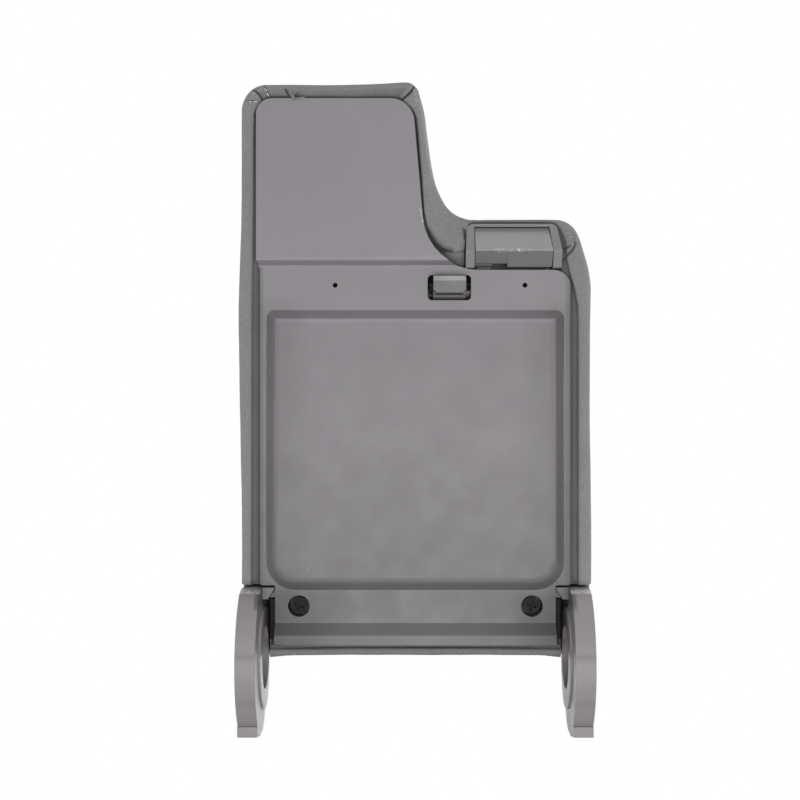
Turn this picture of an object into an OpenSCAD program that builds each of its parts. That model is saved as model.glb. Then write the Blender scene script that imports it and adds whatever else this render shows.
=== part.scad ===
// Centre armrest lid of a car console: a padded, fabric wrapped lid with a nose beside a
// release notch, a moulded lower panel, a sprung hook and paddle, and two hinge arms.
// +Z is the padded top, -Y the front of the car, and the origin the middle of the hinge axis.

/* [Padded lid] */
// Width of the padded lid
lid_w = 206; // [198:1:214]
// Length from the hinge axis to the front of the nose
lid_l = 333; // [326:1:342]
// Reach of the lid behind the hinge axis
lid_back = 1; // [0:0.5:2]
// Height of the padded crown above the hinge axis
crown_h = 48; // [46:1:56]
// Width of the notch beside the nose's tip
notch_w = 101.2; // [98:0.2:106]
// Length of the nose ahead of the notch
nose_l = 77.6; // [74:0.2:84]
// Lean of the nose's right side in degrees
nose_lean = 9; // [8:0.2:11]
// How far the nose's right corner stands ahead of its left one
nose_rise = 1.7; // [0:0.1:3]
// Thickness of the wrapped cover
cover_t = 1.6; // [1.2:0.1:1.9]
// Width of the soft roll along the lower edge
roll_w = 6.5; // [6:0.1:7]
// How far the soft roll hangs below the hinge axis
roll_drop = 6.4; // [5.6:0.1:7]

/* [Carrier] */
// Height of the carrier plate's underside above the hinge axis
plate_z = 14; // [13:0.5:16]
// Thickness of the carrier plate
plate_t = 3; // [2.5:0.5:4]
// Thickness of the carrier's walls and ribs
carrier_wall = 2.5; // [2:0.25:3]
// Thickness of the ledge that the cover's hem is stapled to
ledge_t = 3; // [2.5:0.25:3.5]

/* [Lower panel] */
// Depth of the panel's face below the hinge axis
face_drop = 7; // [6.5:0.25:8]
// Wall thickness of the moulded panel
panel_t = 2.5; // [2:0.1:2.7]
// Margin of cover left beside the panel
side_margin = 13.5; // [12.5:0.25:14]
// Margin of cover left ahead of the panel's nose
front_margin = 11.8; // [10.8:0.2:13]
// Margin of cover left behind the panel
rear_margin = 9.2; // [8.8:0.1:10]
// How far the panel's nose stands out below its face
nose_step = 6; // [4:0.5:7]
// Width of the flat rim beside the tray recess
tray_side = 3.5; // [3:0.1:6]
// Margin between the panel's edge at the notch and the tray recess
tray_gap = 22.8; // [22:0.2:30]
// Depth of the tray recess at its front
tray_front_d = 10; // [8:0.5:11]
// Depth of the tray recess at its rear
tray_rear_d = 5.5; // [4.5:0.5:7]
// How far the stiff lip at the rear stands out below the face
lip_h = 5.5; // [4:0.5:7]

/* [Release paddle] */
// Width of cover left between the release bezel and the lid's side
bezel_side = 19.2; // [17:0.2:23]
// Width of the bezel's legs beside the paddle
leg_w = 5; // [4.5:0.25:5.5]
// Length of the release recess, from the notch's edge to the panel
release_l = 31.6; // [31:0.2:32.6]
// Depth of the paddle's crease below the hinge axis
crease_drop = 17; // [15:0.5:18]
// Diameter of the two pivot pins
pin_d = 3; // [2.5:0.25:3.5]
// Running gap around the pivot pins
pin_gap = 0.05; // [0.03:0.01:0.08]

/* [Latch hook] */
// Width of the latch hook
hook_w = 18.5; // [16:0.5:20]
// Depth of the hook's tip below the hinge axis
hook_drop = 20; // [18:0.5:22]
// Width of the slot around the hook
slot_w = 25; // [22:0.5:27]
// Length of the slot around the hook
slot_l = 14.6; // [14.2:0.1:15]

/* [Hinge arms] */
// Radius of the round ears about the hinge axis
ear_r = 46; // [43:1:48]
// Thickness of the ears
ear_t = 11.3; // [9:0.1:12]
// Radius of the hinge bores
bore_r = 18; // [15:0.5:20]
// Radius of the raised ring around each bore
ring_r = 29.5; // [26:0.5:31]
// Height of the raised ring
ring_h = 1.2; // [0.8:0.1:2]

/* [Fasteners] */
// Diameter of the screws' shanks
screw_d = 4; // [3.5:0.25:4.5]
// Diameter of the large screws' heads
head_d = 10; // [9:0.25:11]
// Diameter of the counterbores for the large heads, at their mouths
counterbore_d = 12.5; // [12:0.25:13.5]
// Depth of the counterbores
counterbore_l = 7; // [6:0.5:8]

/* [Hidden] */

fabric = [0.50, 0.50, 0.50];
foam = [0.85, 0.82, 0.68];
warm_grey = [0.55, 0.53, 0.55];
dark_grey = [0.30, 0.30, 0.31];
black = [0.06, 0.06, 0.06];
steel = [0.72, 0.72, 0.74];

// Clearances
soft_gap = 0.3;
fit_gap = 0.4;
swing_gap = 0.6;
screw_gap = 0.2;
bite = 0.05;
arc_n = 8;
far = 60;

// Plan of the padded lid
half_w = lid_w / 2;
front_y = -lid_l;
notch_y = front_y + nose_l;
tip_x = half_w - notch_w;
foot_x = tip_x + nose_l * tan(nose_lean);
shoulder_in = 8;
shoulder_l = 40;
lid_corners = [
    [-half_w, front_y, 16],
    [tip_x, front_y - nose_rise, 6],
    [foot_x, notch_y, 28],
    [half_w - shoulder_in, notch_y, 15],
    [half_w, notch_y + shoulder_l, 40],
    [half_w, lid_back, 14],
    [-half_w, lid_back, 14]];

// Plan of the lower panel
face_z = -face_drop;
panel_x = half_w - side_margin;
nose_flare = 1.5;
panel_front = front_y + front_margin;
panel_notch = notch_y + release_l;
panel_rear = lid_back - rear_margin;
panel_tip_x = tip_x - 3.5;
panel_lean = 5;
panel_foot_x = panel_tip_x + (panel_notch - panel_front) * tan(panel_lean);
step_y = panel_notch - 4.2;

// Pockets for the hinge ears
ear_x = half_w - 15;
pocket_x = ear_x - 4;
ear_front = -41.2;
pocket_y = ear_front - 1.4;
pocket_z = 25;
panel_waist = pocket_x - 3.3;
waist_y = pocket_y + 0.2;

panel_corners = [
    [-panel_x - nose_flare, panel_front, 9],
    [panel_tip_x, panel_front, 13.8],
    [panel_foot_x, panel_notch, 32],
    [panel_x, panel_notch, 10],
    [panel_x, waist_y, 1.5],
    [panel_waist, waist_y, 0.7],
    [panel_waist, panel_rear, 2.5],
    [-panel_waist, panel_rear, 2.5],
    [-panel_waist, waist_y, 0.7],
    [-panel_x, waist_y, 1.5],
    [-panel_x, step_y + 4, 3],
    [-panel_x - nose_flare, step_y - 1, 3]];
hem_in = 2;
hem_corners = [
    [-panel_x - nose_flare + hem_in, panel_front + hem_in, 8],
    [panel_tip_x - hem_in, panel_front + hem_in, 10],
    [panel_foot_x - hem_in, panel_notch + hem_in, 32],
    [panel_x - hem_in - 1, panel_notch + hem_in, 8],
    [panel_x - hem_in, panel_notch + shoulder_l, 40],
    [panel_x - hem_in, panel_rear - hem_in, 8],
    [-panel_x + hem_in, panel_rear - hem_in, 8]];

// Levels of the cover's hem and the carrier's ledge
staple_d = 0.7;
staple_l = 10;
hem_z = -cover_t - soft_gap;
skirt_z = hem_z - staple_d - bite;
plate_top = plate_z + plate_t;
roof_t = carrier_wall;
wall_in = cover_t + 1.2;

// Pivot of the paddle and pivot of the hook, as [y, z]
paddle_at = [panel_notch - 6.2, -2];
hook_at = [panel_notch + 13.8, 4];
bezel_x = panel_foot_x + 22;
bezel_y = notch_y + 5.2;
bezel_w = half_w - bezel_side - bezel_x;
bezel_taper = 2.6;
bar_t = 1.7;
paddle_x0 = bezel_x + leg_w + fit_gap;
paddle_x1 = bezel_x + bezel_w - leg_w - fit_gap;
hook_x = panel_foot_x + 12.7;
slot_y = panel_notch + 2.9;
finger_w = 8;
finger_x = paddle_x0 + 1.5;
bracket_wall = 3;
bracket_x0 = hook_x - hook_w / 2 - bracket_wall - 2;
bracket_x1 = finger_x + finger_w + 1;
roof_z = plate_z - 6;
bezel_z = face_z - 0.5;
fixed_gap = 0.02;
slot_x = hook_x - slot_w / 2;
barrel_r = pin_d / 2 + 2.3;

// Sections of the paddle and the place where its arm meets the hook's finger
lip_y = bezel_y + bar_t + swing_gap;
crease_y = panel_notch - 10.2;
rear_z = -8;
rib_z = -5.3;
paddle_t = 2.2;
rib_pitch = (paddle_x1 - paddle_x0 - 1.5) / 3;
cheek_z = 2.4 - crease_drop;
spring_x = paddle_x0 + rib_pitch + 0.75;
spring_r = pin_d / 2 + 1.1;
spring_w = 5;
contact_y = panel_notch + 4.3;
contact_z = 3;
finger_top = contact_z - soft_gap;
tip_r = 1.5;
tip_chamfer = 1.7;
latch_wire_r = 0.5;
paddle_wire_r = 0.45;

// Ears, webs and small parts
ear_top = 22.5;
toe_z = -32.8;
web_y = ear_front;
web_l = 7;
web_top = plate_z - 5;
rib_z0 = plate_z - 5;
rib_t = 2;
peg_r = 2.5;
boss_r = peg_r + 1.5;
peg_places = [
    [-panel_x + 14, panel_front + 16],
    [tip_x - 20, panel_front + 16],
    [-panel_x + 14, notch_y + 6]];

// Places of the screws
seat_z = face_z + counterbore_l;
pillar_z = seat_z + 2;
panel_screw_x = panel_waist - 13.7;
panel_screw_y = panel_rear - 22.3;
arm_screw_x = pocket_x - 14;
flange_l = 35;
arm_screw_ys = [pocket_y - 7, pocket_y - flange_l + 8];
flange_x = pocket_x - 24;
flange_z = plate_z - 8;
flange_t = 3;

// Vectors
function unit(v) = v / norm(v);
function turn(a, b) = a.x * b.y - a.y * b.x;
function inward(v) = [-v.y, v.x];
function xy(p) = [p.x, p.y];

// Corner b of a closed outline after both its edges move inwards by d
function moved_corner(a, b, c, d) =
    let (n1 = inward(unit(b - a)), n2 = inward(unit(c - b)))
    b + d * (n1 + n2) / (1 + n1 * n2);

// Points of an arc of radius r in the corner b
function corner_arc(a, b, c, r) =
    let (u = unit(a - b),
         v = unit(c - b),
         half = acos(u * v) / 2,
         centre = b + unit(u + v) * r / sin(half),
         start = b + u * r / tan(half) - centre,
         first = atan2(start.y, start.x),
         sweep = (180 - 2 * half) * sign(turn(b - a, c - b)))
    [for (i = [0 : arc_n])
        centre + r * [cos(first + sweep * i / arc_n), sin(first + sweep * i / arc_n)]];

// Points of a closed outline of [x, y, radius] corners, moved inwards by d
function outline(corners, d = 0) =
    let (n = len(corners),
         p = [for (i = [0 : n - 1])
             moved_corner(xy(corners[(i + n - 1) % n]), xy(corners[i]),
                          xy(corners[(i + 1) % n]), d)])
    [for (i = [0 : n - 1])
        let (a = p[(i + n - 1) % n],
             b = p[i],
             c = p[(i + 1) % n],
             convex = turn(b - a, c - b) > 0,
             r = convex ? max(corners[i].z - d, 0.5) : corners[i].z + d)
        each corner_arc(a, b, c, r)];

// Points of an outline at a height
function level(points, z) = [for (p = points) [p.x, p.y, z]];

// A solid through rings of equally many points
module loft(rings) {
    n = len(rings[0]);
    m = len(rings);
    points = [for (ring = rings) each ring];
    bottom = [for (i = [0 : n - 1]) i];
    top = [for (i = [n - 1 : -1 : 0]) (m - 1) * n + i];
    sides = [for (j = [0 : m - 2]) for (i = [0 : n - 1])
        let (k = (i + 1) % n)
        each [[j * n + i, (j + 1) * n + i, (j + 1) * n + k],
              [j * n + i, (j + 1) * n + k, j * n + k]]];
    polyhedron(points = points, faces = concat([bottom], sides, [top]), convexity = 8);
}

// A prism on an outline, between two heights
module slab(corners, d, z0, z1) {
    translate([0, 0, z0])
        linear_extrude(z1 - z0)
            polygon(outline(corners, d));
}

// A box between two corners
module block(low, high) {
    translate(low)
        cube(high - low);
}

// A profile in the Y Z plane, extruded along X from x0 to x1
module side_profile(x0, x1) {
    translate([x0, 0, 0])
        rotate([90, 0, 90])
            linear_extrude(x1 - x0)
                children();
}

// A round bar along X, centred on [y, z]
module bar(at, r, x0, x1) {
    translate([x0, at.x, at.y])
        rotate([0, 90, 0])
            cylinder(r = r, h = x1 - x0, $fn = 48);
}

// An upright round post
module post(x, y, r, z0, z1) {
    translate([x, y, z0])
        cylinder(r = r, h = z1 - z0, $fn = 48);
}

// The same thing on the left and on the right
module both_sides() {
    children();
    mirror([1, 0, 0])
        children();
}

// Section of the lid's side and crown as [inset, z, inward part, upward part]
crown_section = [
    [0, 10, 1, 0],
    [0.4, crown_h - 20, 1, 0.05],
    [3, crown_h - 11, 0.85, 0.53],
    [9, crown_h - 4.5, 0.5, 0.87],
    [19, crown_h - 1.3, 0.2, 0.98],
    [31, crown_h, 0, 1]];
function crown_rings(t) =
    [for (s = crown_section) level(outline(lid_corners, s[0] + t * s[2]), s[1] - t * s[3])];

// Pocket that the lid leaves above and beside each hinge ear, grown by g
module ear_pockets(g) {
    both_sides()
        block([pocket_x - g, pocket_y - g, -far], [lid_w, far, pocket_z + g]);
}

// Outline of the release bezel from its front to y1, grown by g
module bezel_plan(g, y1) {
    x1 = bezel_x + bezel_w;
    polygon(outline([
        [bezel_x + 0.8, bezel_y, 4],
        [x1 - bezel_taper, bezel_y, 4],
        [x1, crease_y, 20],
        [x1, y1, 0.3],
        [bezel_x, y1, 0.3],
        [bezel_x, crease_y, 20]], -g));
}

// Room for the bezel and for the paddle's arm behind it, up to z1
module release_recess(z1) {
    translate([0, 0, z1 - far])
        linear_extrude(far)
            bezel_plan(fit_gap, panel_notch + hem_in + 1.5);
}

module cover() {
    edge_back = [
        level(outline(lid_corners, cover_t + 1), 2.4),
        level(outline(lid_corners, roll_w - 1.3), hem_z + cover_t),
        level(outline(hem_corners), hem_z + cover_t)];
    edge_front = [
        level(outline(hem_corners), hem_z),
        level(outline(lid_corners, roll_w + 1.5), hem_z),
        level(outline(lid_corners, roll_w + 0.5), hem_z - 0.9),
        level(outline(lid_corners, roll_w - 0.3), 1.2 - roll_drop),
        level(outline(lid_corners, roll_w - 1.9), -roll_drop),
        level(outline(lid_corners, roll_w - 3.7), 2.2 - roll_drop),
        level(outline(lid_corners, 0.9), 2)];
    inside = crown_rings(cover_t);
    inside_down = [for (i = [len(inside) - 1 : -1 : 0]) inside[i]];
    color(fabric)
        difference() {
            loft(concat(inside_down, edge_back, edge_front, crown_rings(0)));
            ear_pockets(0);
            release_recess(soft_gap);
            slab(panel_corners, -soft_gap, -far, hem_z);
        }
}

module foam_pad() {
    color(foam)
        difference() {
            loft(crown_rings(cover_t + soft_gap));
            ear_pockets(roof_t + soft_gap);
            block([-lid_w, -2 * lid_l, -1], [lid_w, lid_l, plate_top]);
        }
}

// Places of the screws that go up into the carrier, as [x, y]
arm_screws_at = [for (x = [-arm_screw_x, arm_screw_x]) for (y = arm_screw_ys) [x, y]];
panel_screws_at = [for (x = [-panel_screw_x, panel_screw_x]) [x, panel_screw_y]];
bezel_screw_in = 12;
bezel_screw_y = bezel_y + 10;
bezel_screws_at = [for (x = [bezel_x + bezel_screw_in, bezel_x + bezel_w - bezel_screw_in])
    [x, bezel_screw_y]];
bracket_ear = 12;
bracket_screws_at = [for (x = [bracket_x0 - bracket_ear / 2, bracket_x1 + bracket_wall + bracket_ear / 2])
    [x, hook_at.x]];

// Stiffening ribs under the carrier plate
module carrier_ribs() {
    pitch = (panel_x - 9.5) / 2;
    nose_pitch = 30;
    side = 10;
    z1 = plate_z + 0.5;
    rear = pocket_y - 55;
    for (i = [-1.5 : 1.5])
        block([i * pitch - rib_t / 2, rear - 2.2 * pitch, rib_z0],
              [i * pitch + rib_t / 2, rear + side, z1]);
    for (i = [0 : 2])
        block([-panel_x + side, rear - i * pitch - rib_t, rib_z0], [panel_x - side, rear - i * pitch, z1]);
    for (y = [notch_y - side : -nose_pitch : front_y + 2 * side])
        block([-panel_x, y - rib_t, rib_z0], [tip_x - side, y, z1]);
    for (x = [-panel_x + nose_pitch : nose_pitch : tip_x - side])
        block([x - rib_t / 2, front_y + side, rib_z0], [x + rib_t / 2, notch_y + side, z1]);
}

// Walls and roof of the carrier round each hinge ear
module carrier_pockets() {
    x0 = pocket_x - carrier_wall;
    y0 = pocket_y - carrier_wall;
    top = pocket_z + roof_t;
    intersection() {
        both_sides()
            difference() {
                block([x0, y0, 0], [lid_w, far, top]);
                block([pocket_x, pocket_y, -1], [lid_w + 1, far + 1, pocket_z]);
            }
        union() {
            slab(lid_corners, wall_in, ledge_t, top + 1);
            slab(lid_corners, roll_w - 0.8, -1, ledge_t + 1);
        }
    }
}

module carrier() {
    column_r = screw_d / 2 + 2.5;
    color(dark_grey)
        difference() {
            union() {
                slab(lid_corners, wall_in, plate_z, plate_top);
                difference() {
                    slab(lid_corners, wall_in, ledge_t, plate_z + 0.5);
                    slab(lid_corners, wall_in + carrier_wall, ledge_t - 1, plate_z + 1);
                }
                difference() {
                    union() {
                        slab(lid_corners, roll_w - 0.8, 0, ledge_t + 0.5);
                        slab(lid_corners, wall_in + 0.5, ledge_t, ledge_t + 2);
                    }
                    slab(hem_corners, 0.5, -1, ledge_t + 3);
                }
                carrier_pockets();
                carrier_ribs();
                for (p = arm_screws_at)
                    post(p.x, p.y, column_r, flange_z + flange_t, plate_z + 0.5);
                for (p = panel_screws_at)
                    post(p.x, p.y, column_r + 0.5, pillar_z, plate_z + 0.5);
            }
            ear_pockets(0);
            release_recess(plate_z);
            for (p = concat(arm_screws_at, panel_screws_at, bezel_screws_at, bracket_screws_at))
                post(p.x, p.y, screw_d / 2 + bite, -far, plate_top - 1);
            both_sides()
                block([flange_x, web_y - fit_gap, -far],
                      [ear_x, web_y + web_l + fit_gap, web_top + fit_gap]);
            for (p = peg_places) {
                post(p.x, p.y, boss_r + fit_gap, rib_z0 - 1, plate_z);
                post(p.x, p.y, peg_r + 0.2, plate_z - 1, plate_z + 2);
            }
        }
}

// Staples that hold the cover's hem to the ledge round the nose and along the rear
module staple(x, y, angle) {
    translate([x, y, hem_z - staple_d])
        rotate([0, 0, angle]) {
            translate([-staple_l / 2, -staple_d / 2, 0])
                cube([staple_l, staple_d, staple_d]);
            for (side = [-1, 1])
                translate([side * (staple_l - staple_d) / 2 - staple_d / 2, -staple_d / 2, 0])
                    cube([staple_d, staple_d, cover_t + staple_d + 2]);
        }
}

module cover_staples() {
    nose_rows = 3;
    side_pitch = (panel_notch - panel_front) / (nose_rows + 1.4);
    front_in = 20;
    front_pitch = 28;
    tip_in = 16;
    rear_in = 15;
    rear_pitch = 32;
    color(steel) {
        for (i = [0 : nose_rows - 1])
            staple(-panel_x - nose_flare + hem_in - staple_d, panel_front + (i + 0.9) * side_pitch, 90);
        for (x = [-panel_x + front_in : front_pitch : tip_x - tip_in])
            staple(x, panel_front + hem_in - staple_d, 0);
        for (x = [-panel_waist + rear_in : rear_pitch : panel_waist - rear_in])
            staple(x, panel_rear - hem_in + staple_d, 0);
    }
}

// Side profile of a hinge ear about the hinge axis, in Y and Z
module ear_plan() {
    back = ear_r - 5;
    intersection() {
        circle(r = ear_r, $fn = 96);
        polygon([[ear_front, ear_top], [ear_front, -17.5], [ear_front + 1.8, -24],
                 [ear_front + 15, -2 * ear_r], [back + 1, -2 * ear_r], [back + 1, -20], [back, -3],
                 [back - 3, 4], [back - 12, 12], [back - 22, 18], [5.5, ear_top]]);
    }
    polygon([[back - 12, -20], [back - 1, -17], [back - 0.6, -24], [back - 1.4, toe_z],
             [back - 7.4, toe_z - 0.6], [back - 8, toe_z + 1.6]]);
}

module hinge_arm() {
    difference() {
        union() {
            side_profile(ear_x, ear_x + ear_t)
                ear_plan();
            intersection() {
                bar([0, 0], ring_r, ear_x - ring_h, ear_x + 1);
                side_profile(ear_x - ring_h, ear_x + 1)
                    ear_plan();
            }
            translate([0, 0, face_z])
                linear_extrude(web_top - face_z)
                    polygon([[panel_waist + fit_gap, web_y], [ear_x + 2, web_y], [ear_x + 2, web_y + web_l],
                             [ear_x - 3.2, web_y + web_l], [panel_waist + fit_gap, web_y + 1]]);
            block([flange_x + 2 * carrier_wall, web_y, pillar_z + soft_gap],
                  [ear_x - 3, web_y + web_l, web_top]);
            block([flange_x, pocket_y - flange_l, flange_z],
                  [pocket_x - carrier_wall - fit_gap, web_y + 4, flange_z + flange_t]);
            block([flange_x, pocket_y - flange_l, flange_z - carrier_wall],
                  [flange_x + carrier_wall, web_y + 4, flange_z + 1]);
        }
        bar([0, 0], bore_r, ear_x - ring_h - 1, ear_x + ear_t + 1);
        for (y = arm_screw_ys)
            post(arm_screw_x, y, screw_d / 2 + screw_gap, 0, flange_z + flange_t + 1);
    }
}

module hinge_arm_right() {
    color(warm_grey)
        hinge_arm();
}

module hinge_arm_left() {
    color(warm_grey)
        mirror([1, 0, 0])
            hinge_arm();
}

// A screw driven upwards, with a cross recess in its head
module screw(x, y, seat, tip, head_r, head_h) {
    difference() {
        union() {
            post(x, y, head_r, seat - head_h, seat);
            post(x, y, screw_d / 2, seat - 0.5, tip);
        }
        for (a = [0, 90])
            translate([x, y, seat - head_h - 1])
                rotate([0, 0, a + 20])
                    translate([-head_r * 0.6, -0.6, 0])
                        cube([head_r * 1.2, 1.2, 1 + head_h * 0.6]);
    }
}

module arm_screws() {
    color(steel)
        for (p = arm_screws_at)
            screw(p.x, p.y, flange_z, plate_top - 1.5, screw_d, 2.4);
}

module panel_screw_left() {
    color(black)
        screw(-panel_screw_x, panel_screw_y, seat_z, plate_z - 1, head_d / 2, 3);
}

module panel_screw_right() {
    color(black)
        screw(panel_screw_x, panel_screw_y, seat_z, plate_z - 1, head_d / 2, 3);
}

module bezel_screws() {
    color(steel)
        for (p = bezel_screws_at)
            screw(p.x, p.y, roof_z, plate_top - 1.5, screw_d, 2.4);
}

module bracket_screws() {
    color(steel)
        for (p = bracket_screws_at)
            screw(p.x, p.y, plate_z - bracket_wall, plate_top - 1.5, screw_d, 2.4);
}

// Tray recess: corners of its rim, and its depth at a place along the lid
tray_y1 = waist_y + 3;
tray_x = panel_x - tray_side;
tray_y0 = panel_notch + tray_gap;
tray_l = tray_y1 - tray_y0;
tray_corners = [
    [-tray_x, tray_y0, 5],
    [tray_x, tray_y0, 5],
    [tray_x, tray_y1, 17],
    [-tray_x, tray_y1, 17]];
function tray_depth(y) = tray_rear_d + (tray_front_d - tray_rear_d) * (tray_y1 - y) / tray_l;
function tray_ring(inset, share, t) =
    [for (p = outline(tray_corners, inset - t))
        [p.x, p.y, face_z + share * (tray_depth(p.y) + t)]];

// The tray as a drafted, rounded form, t thicker all round
module tray_form(t) {
    start = t > 0 ? 0.2 : -0.2;
    loft([
        tray_ring(start * 2, start, t),
        tray_ring(3.2, 0.7, t),
        tray_ring(4.6, 0.9, t),
        tray_ring(7, 1, t)]);
}

// Level of the nose and the shape of the step behind it
nose_z = face_z - nose_step;
module nose_side(t) {
    side_profile(-lid_w, lid_w)
        polygon([[front_y, nose_z + t], [step_y - 2.2 - t, nose_z + t],
                 [step_y - 0.7 - t, nose_z + t + 0.6], [step_y - t, nose_z + t + 1.8],
                 [step_y + 1.6 - t, face_z + 0.1 + t], [step_y + 1.6 - t, 0], [front_y, 0]]);
}

// Stiff lip along the panel's rear edge
module rear_lip() {
    y = panel_rear;
    z = face_z - lip_h;
    t = panel_t;
    side_profile(-panel_waist, panel_waist)
        polygon([[y - 12.5, face_z], [y - 6.9, z + 0.5], [y - 6, z], [y - 0.8, z], [y, z + 0.8],
                 [y, skirt_z], [y - t, skirt_z], [y - t, z + t], [y - 5.4, z + t],
                 [y - 11.6, face_z + t], [y - 12.5, face_z + t]]);
}

// Rounded rectangle between two corners
module rounded(x0, y0, x1, y1, r) {
    polygon(outline([[x0, y0, r], [x1, y0, r], [x1, y1, r], [x0, y1, r]]));
}

module panel_shell() {
    difference() {
        union() {
            slab(panel_corners, 0, face_z, skirt_z);
            intersection() {
                slab(panel_corners, 0, nose_z, skirt_z);
                nose_side(0);
            }
        }
        slab(panel_corners, panel_t, face_z + panel_t, 0);
        intersection() {
            slab(panel_corners, panel_t, nose_z + panel_t, 0);
            nose_side(panel_t);
        }
        block([-panel_waist + panel_t, panel_rear - 11.6, face_z - 1],
              [panel_waist - panel_t, panel_rear - panel_t, face_z + panel_t + 1]);
    }
}

// A drafted counterbore for a large head, open below the panel's face
module counterbore(x, y) {
    seat_r = head_d / 2 + fit_gap;
    draft = (counterbore_d / 2 - seat_r) / counterbore_l;
    translate([x, y, face_z - 1])
        cylinder(r1 = counterbore_d / 2 + draft, r2 = seat_r, h = counterbore_l + 1, $fn = 48);
}

module lower_panel() {
    color(warm_grey)
        difference() {
            union() {
                panel_shell();
                rear_lip();
                tray_form(panel_t);
                for (p = panel_screws_at)
                    post(p.x, p.y, counterbore_d / 2 + 2, face_z + 0.5, pillar_z);
                for (p = peg_places) {
                    post(p.x, p.y, boss_r, nose_z + 1, plate_z - 0.2);
                    post(p.x, p.y, peg_r, plate_z - 1, plate_z + 1.8);
                }
            }
            tray_form(0);
            translate([0, 0, face_z - 1])
                linear_extrude(panel_t + 2)
                    rounded(slot_x, slot_y, slot_x + slot_w, slot_y + slot_l, 2.5);
            for (x = [panel_foot_x - 53, panel_foot_x + 56.2])
                post(x, panel_notch + 8.8, 1.4, face_z - 1, face_z + panel_t + 1);
            for (p = panel_screws_at) {
                counterbore(p.x, p.y);
                post(p.x, p.y, screw_d / 2 + screw_gap, seat_z - 1, pillar_z + 1);
            }
        }
}

module release_bezel() {
    x0 = bezel_x;
    x1 = bezel_x + bezel_w;
    back = panel_notch - 1;
    color(warm_grey)
        difference() {
            intersection() {
                translate([0, 0, cheek_z])
                    linear_extrude(roof_z + bracket_wall - cheek_z)
                        bezel_plan(0, back);
                side_profile(x0 - 1, x1 + 1)
                    polygon([[bezel_y - 1, bezel_z], [bezel_y + 1.4, bezel_z], [crease_y - 1, cheek_z],
                             [crease_y + 1.2, cheek_z], [back + 1, bezel_z - 2], [back + 1, plate_z],
                             [bezel_y - 1, plate_z]]);
            }
            difference() {
                block([x0 + leg_w, bezel_y + bar_t, -far], [x1 - leg_w, back + 1, roof_z]);
                side_taper(fit_gap);
            }
            bar(paddle_at, pin_d / 2 + fixed_gap, x0 + 1, x1 - 1);
            for (p = bezel_screws_at)
                post(p.x, p.y, screw_d / 2 + screw_gap, roof_z - 1, plate_z);
        }
}

// Wedge to the right of the paddle, which is narrower at its lip than at its crease
module side_taper(g) {
    x = paddle_x1 + g;
    translate([0, 0, -far])
        linear_extrude(2 * far)
            polygon([[x - 2.2, bezel_y - 1], [x + far, bezel_y - 1], [x + far, crease_y], [x, crease_y]]);
}

// Section of the paddle, from its front lip over the crease to its rear wall
module paddle_section(rear) {
    crease_z = -crease_drop;
    polygon([[lip_y, -6], [crease_y - 1.4, crease_z + 1.1], [crease_y - 0.5, crease_z + 0.3],
             [crease_y + 0.5, crease_z + 0.3], [crease_y + 1.2, crease_z + 1.2], [rear, rear_z], [rear, -3],
             [rear - paddle_t, -3], [rear - paddle_t, rib_z], [lip_y + paddle_t, rib_z],
             [lip_y + paddle_t, -3.5], [lip_y, -3.5]]);
}

// Hollow of the paddle between its ribs
module paddle_hollow(rear) {
    polygon([[lip_y + 3.6, 0], [lip_y + 3.6, -5.8], [crease_y - 0.2, 3 - crease_drop],
             [rear - paddle_t, rear_z + 0.8], [rear - paddle_t, 0]]);
}

module release_paddle() {
    x0 = paddle_x0;
    x1 = paddle_x1;
    split = bezel_x + 24;
    rear_left = panel_notch - 3.6;
    rear_right = panel_notch - 1.7;
    lug_w = 10;
    color(warm_grey)
        difference() {
            union() {
                difference() {
                    union() {
                        side_profile(x0, split)
                            paddle_section(rear_left);
                        side_profile(split - 0.01, x1)
                            paddle_section(rear_right);
                    }
                    for (i = [0 : 2])
                        side_profile(x0 + 2 + i * rib_pitch, x0 + i * rib_pitch + rib_pitch - 0.5)
                            paddle_hollow(rear_left);
                }
                bar(paddle_at, pin_d / 2 + 2.2, x0, x0 + lug_w);
                bar(paddle_at, pin_d / 2 + 2.2, x1 - lug_w, x1);
                side_profile(finger_x, finger_x + finger_w)
                    paddle_arm();
            }
            bar(paddle_at, pin_d / 2 + pin_gap, x0 - 1, x1 + 1);
            bar(paddle_at, spring_r + paddle_wire_r + soft_gap, spring_x - 0.8, spring_x + spring_w + 0.8);
            side_taper(0);
        }
}

// Arm of the paddle that presses the hook's finger down
module paddle_arm() {
    y = paddle_at.x;
    polygon([[y - 2, -2], [y + 1, 5.2], [contact_y, contact_z + 2 * tip_r], [contact_y, contact_z + 1],
             [y + 3.8, 2.4], [y + 3, -2]]);
    translate([contact_y, contact_z + tip_r])
        circle(r = tip_r, $fn = 32);
}

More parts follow.
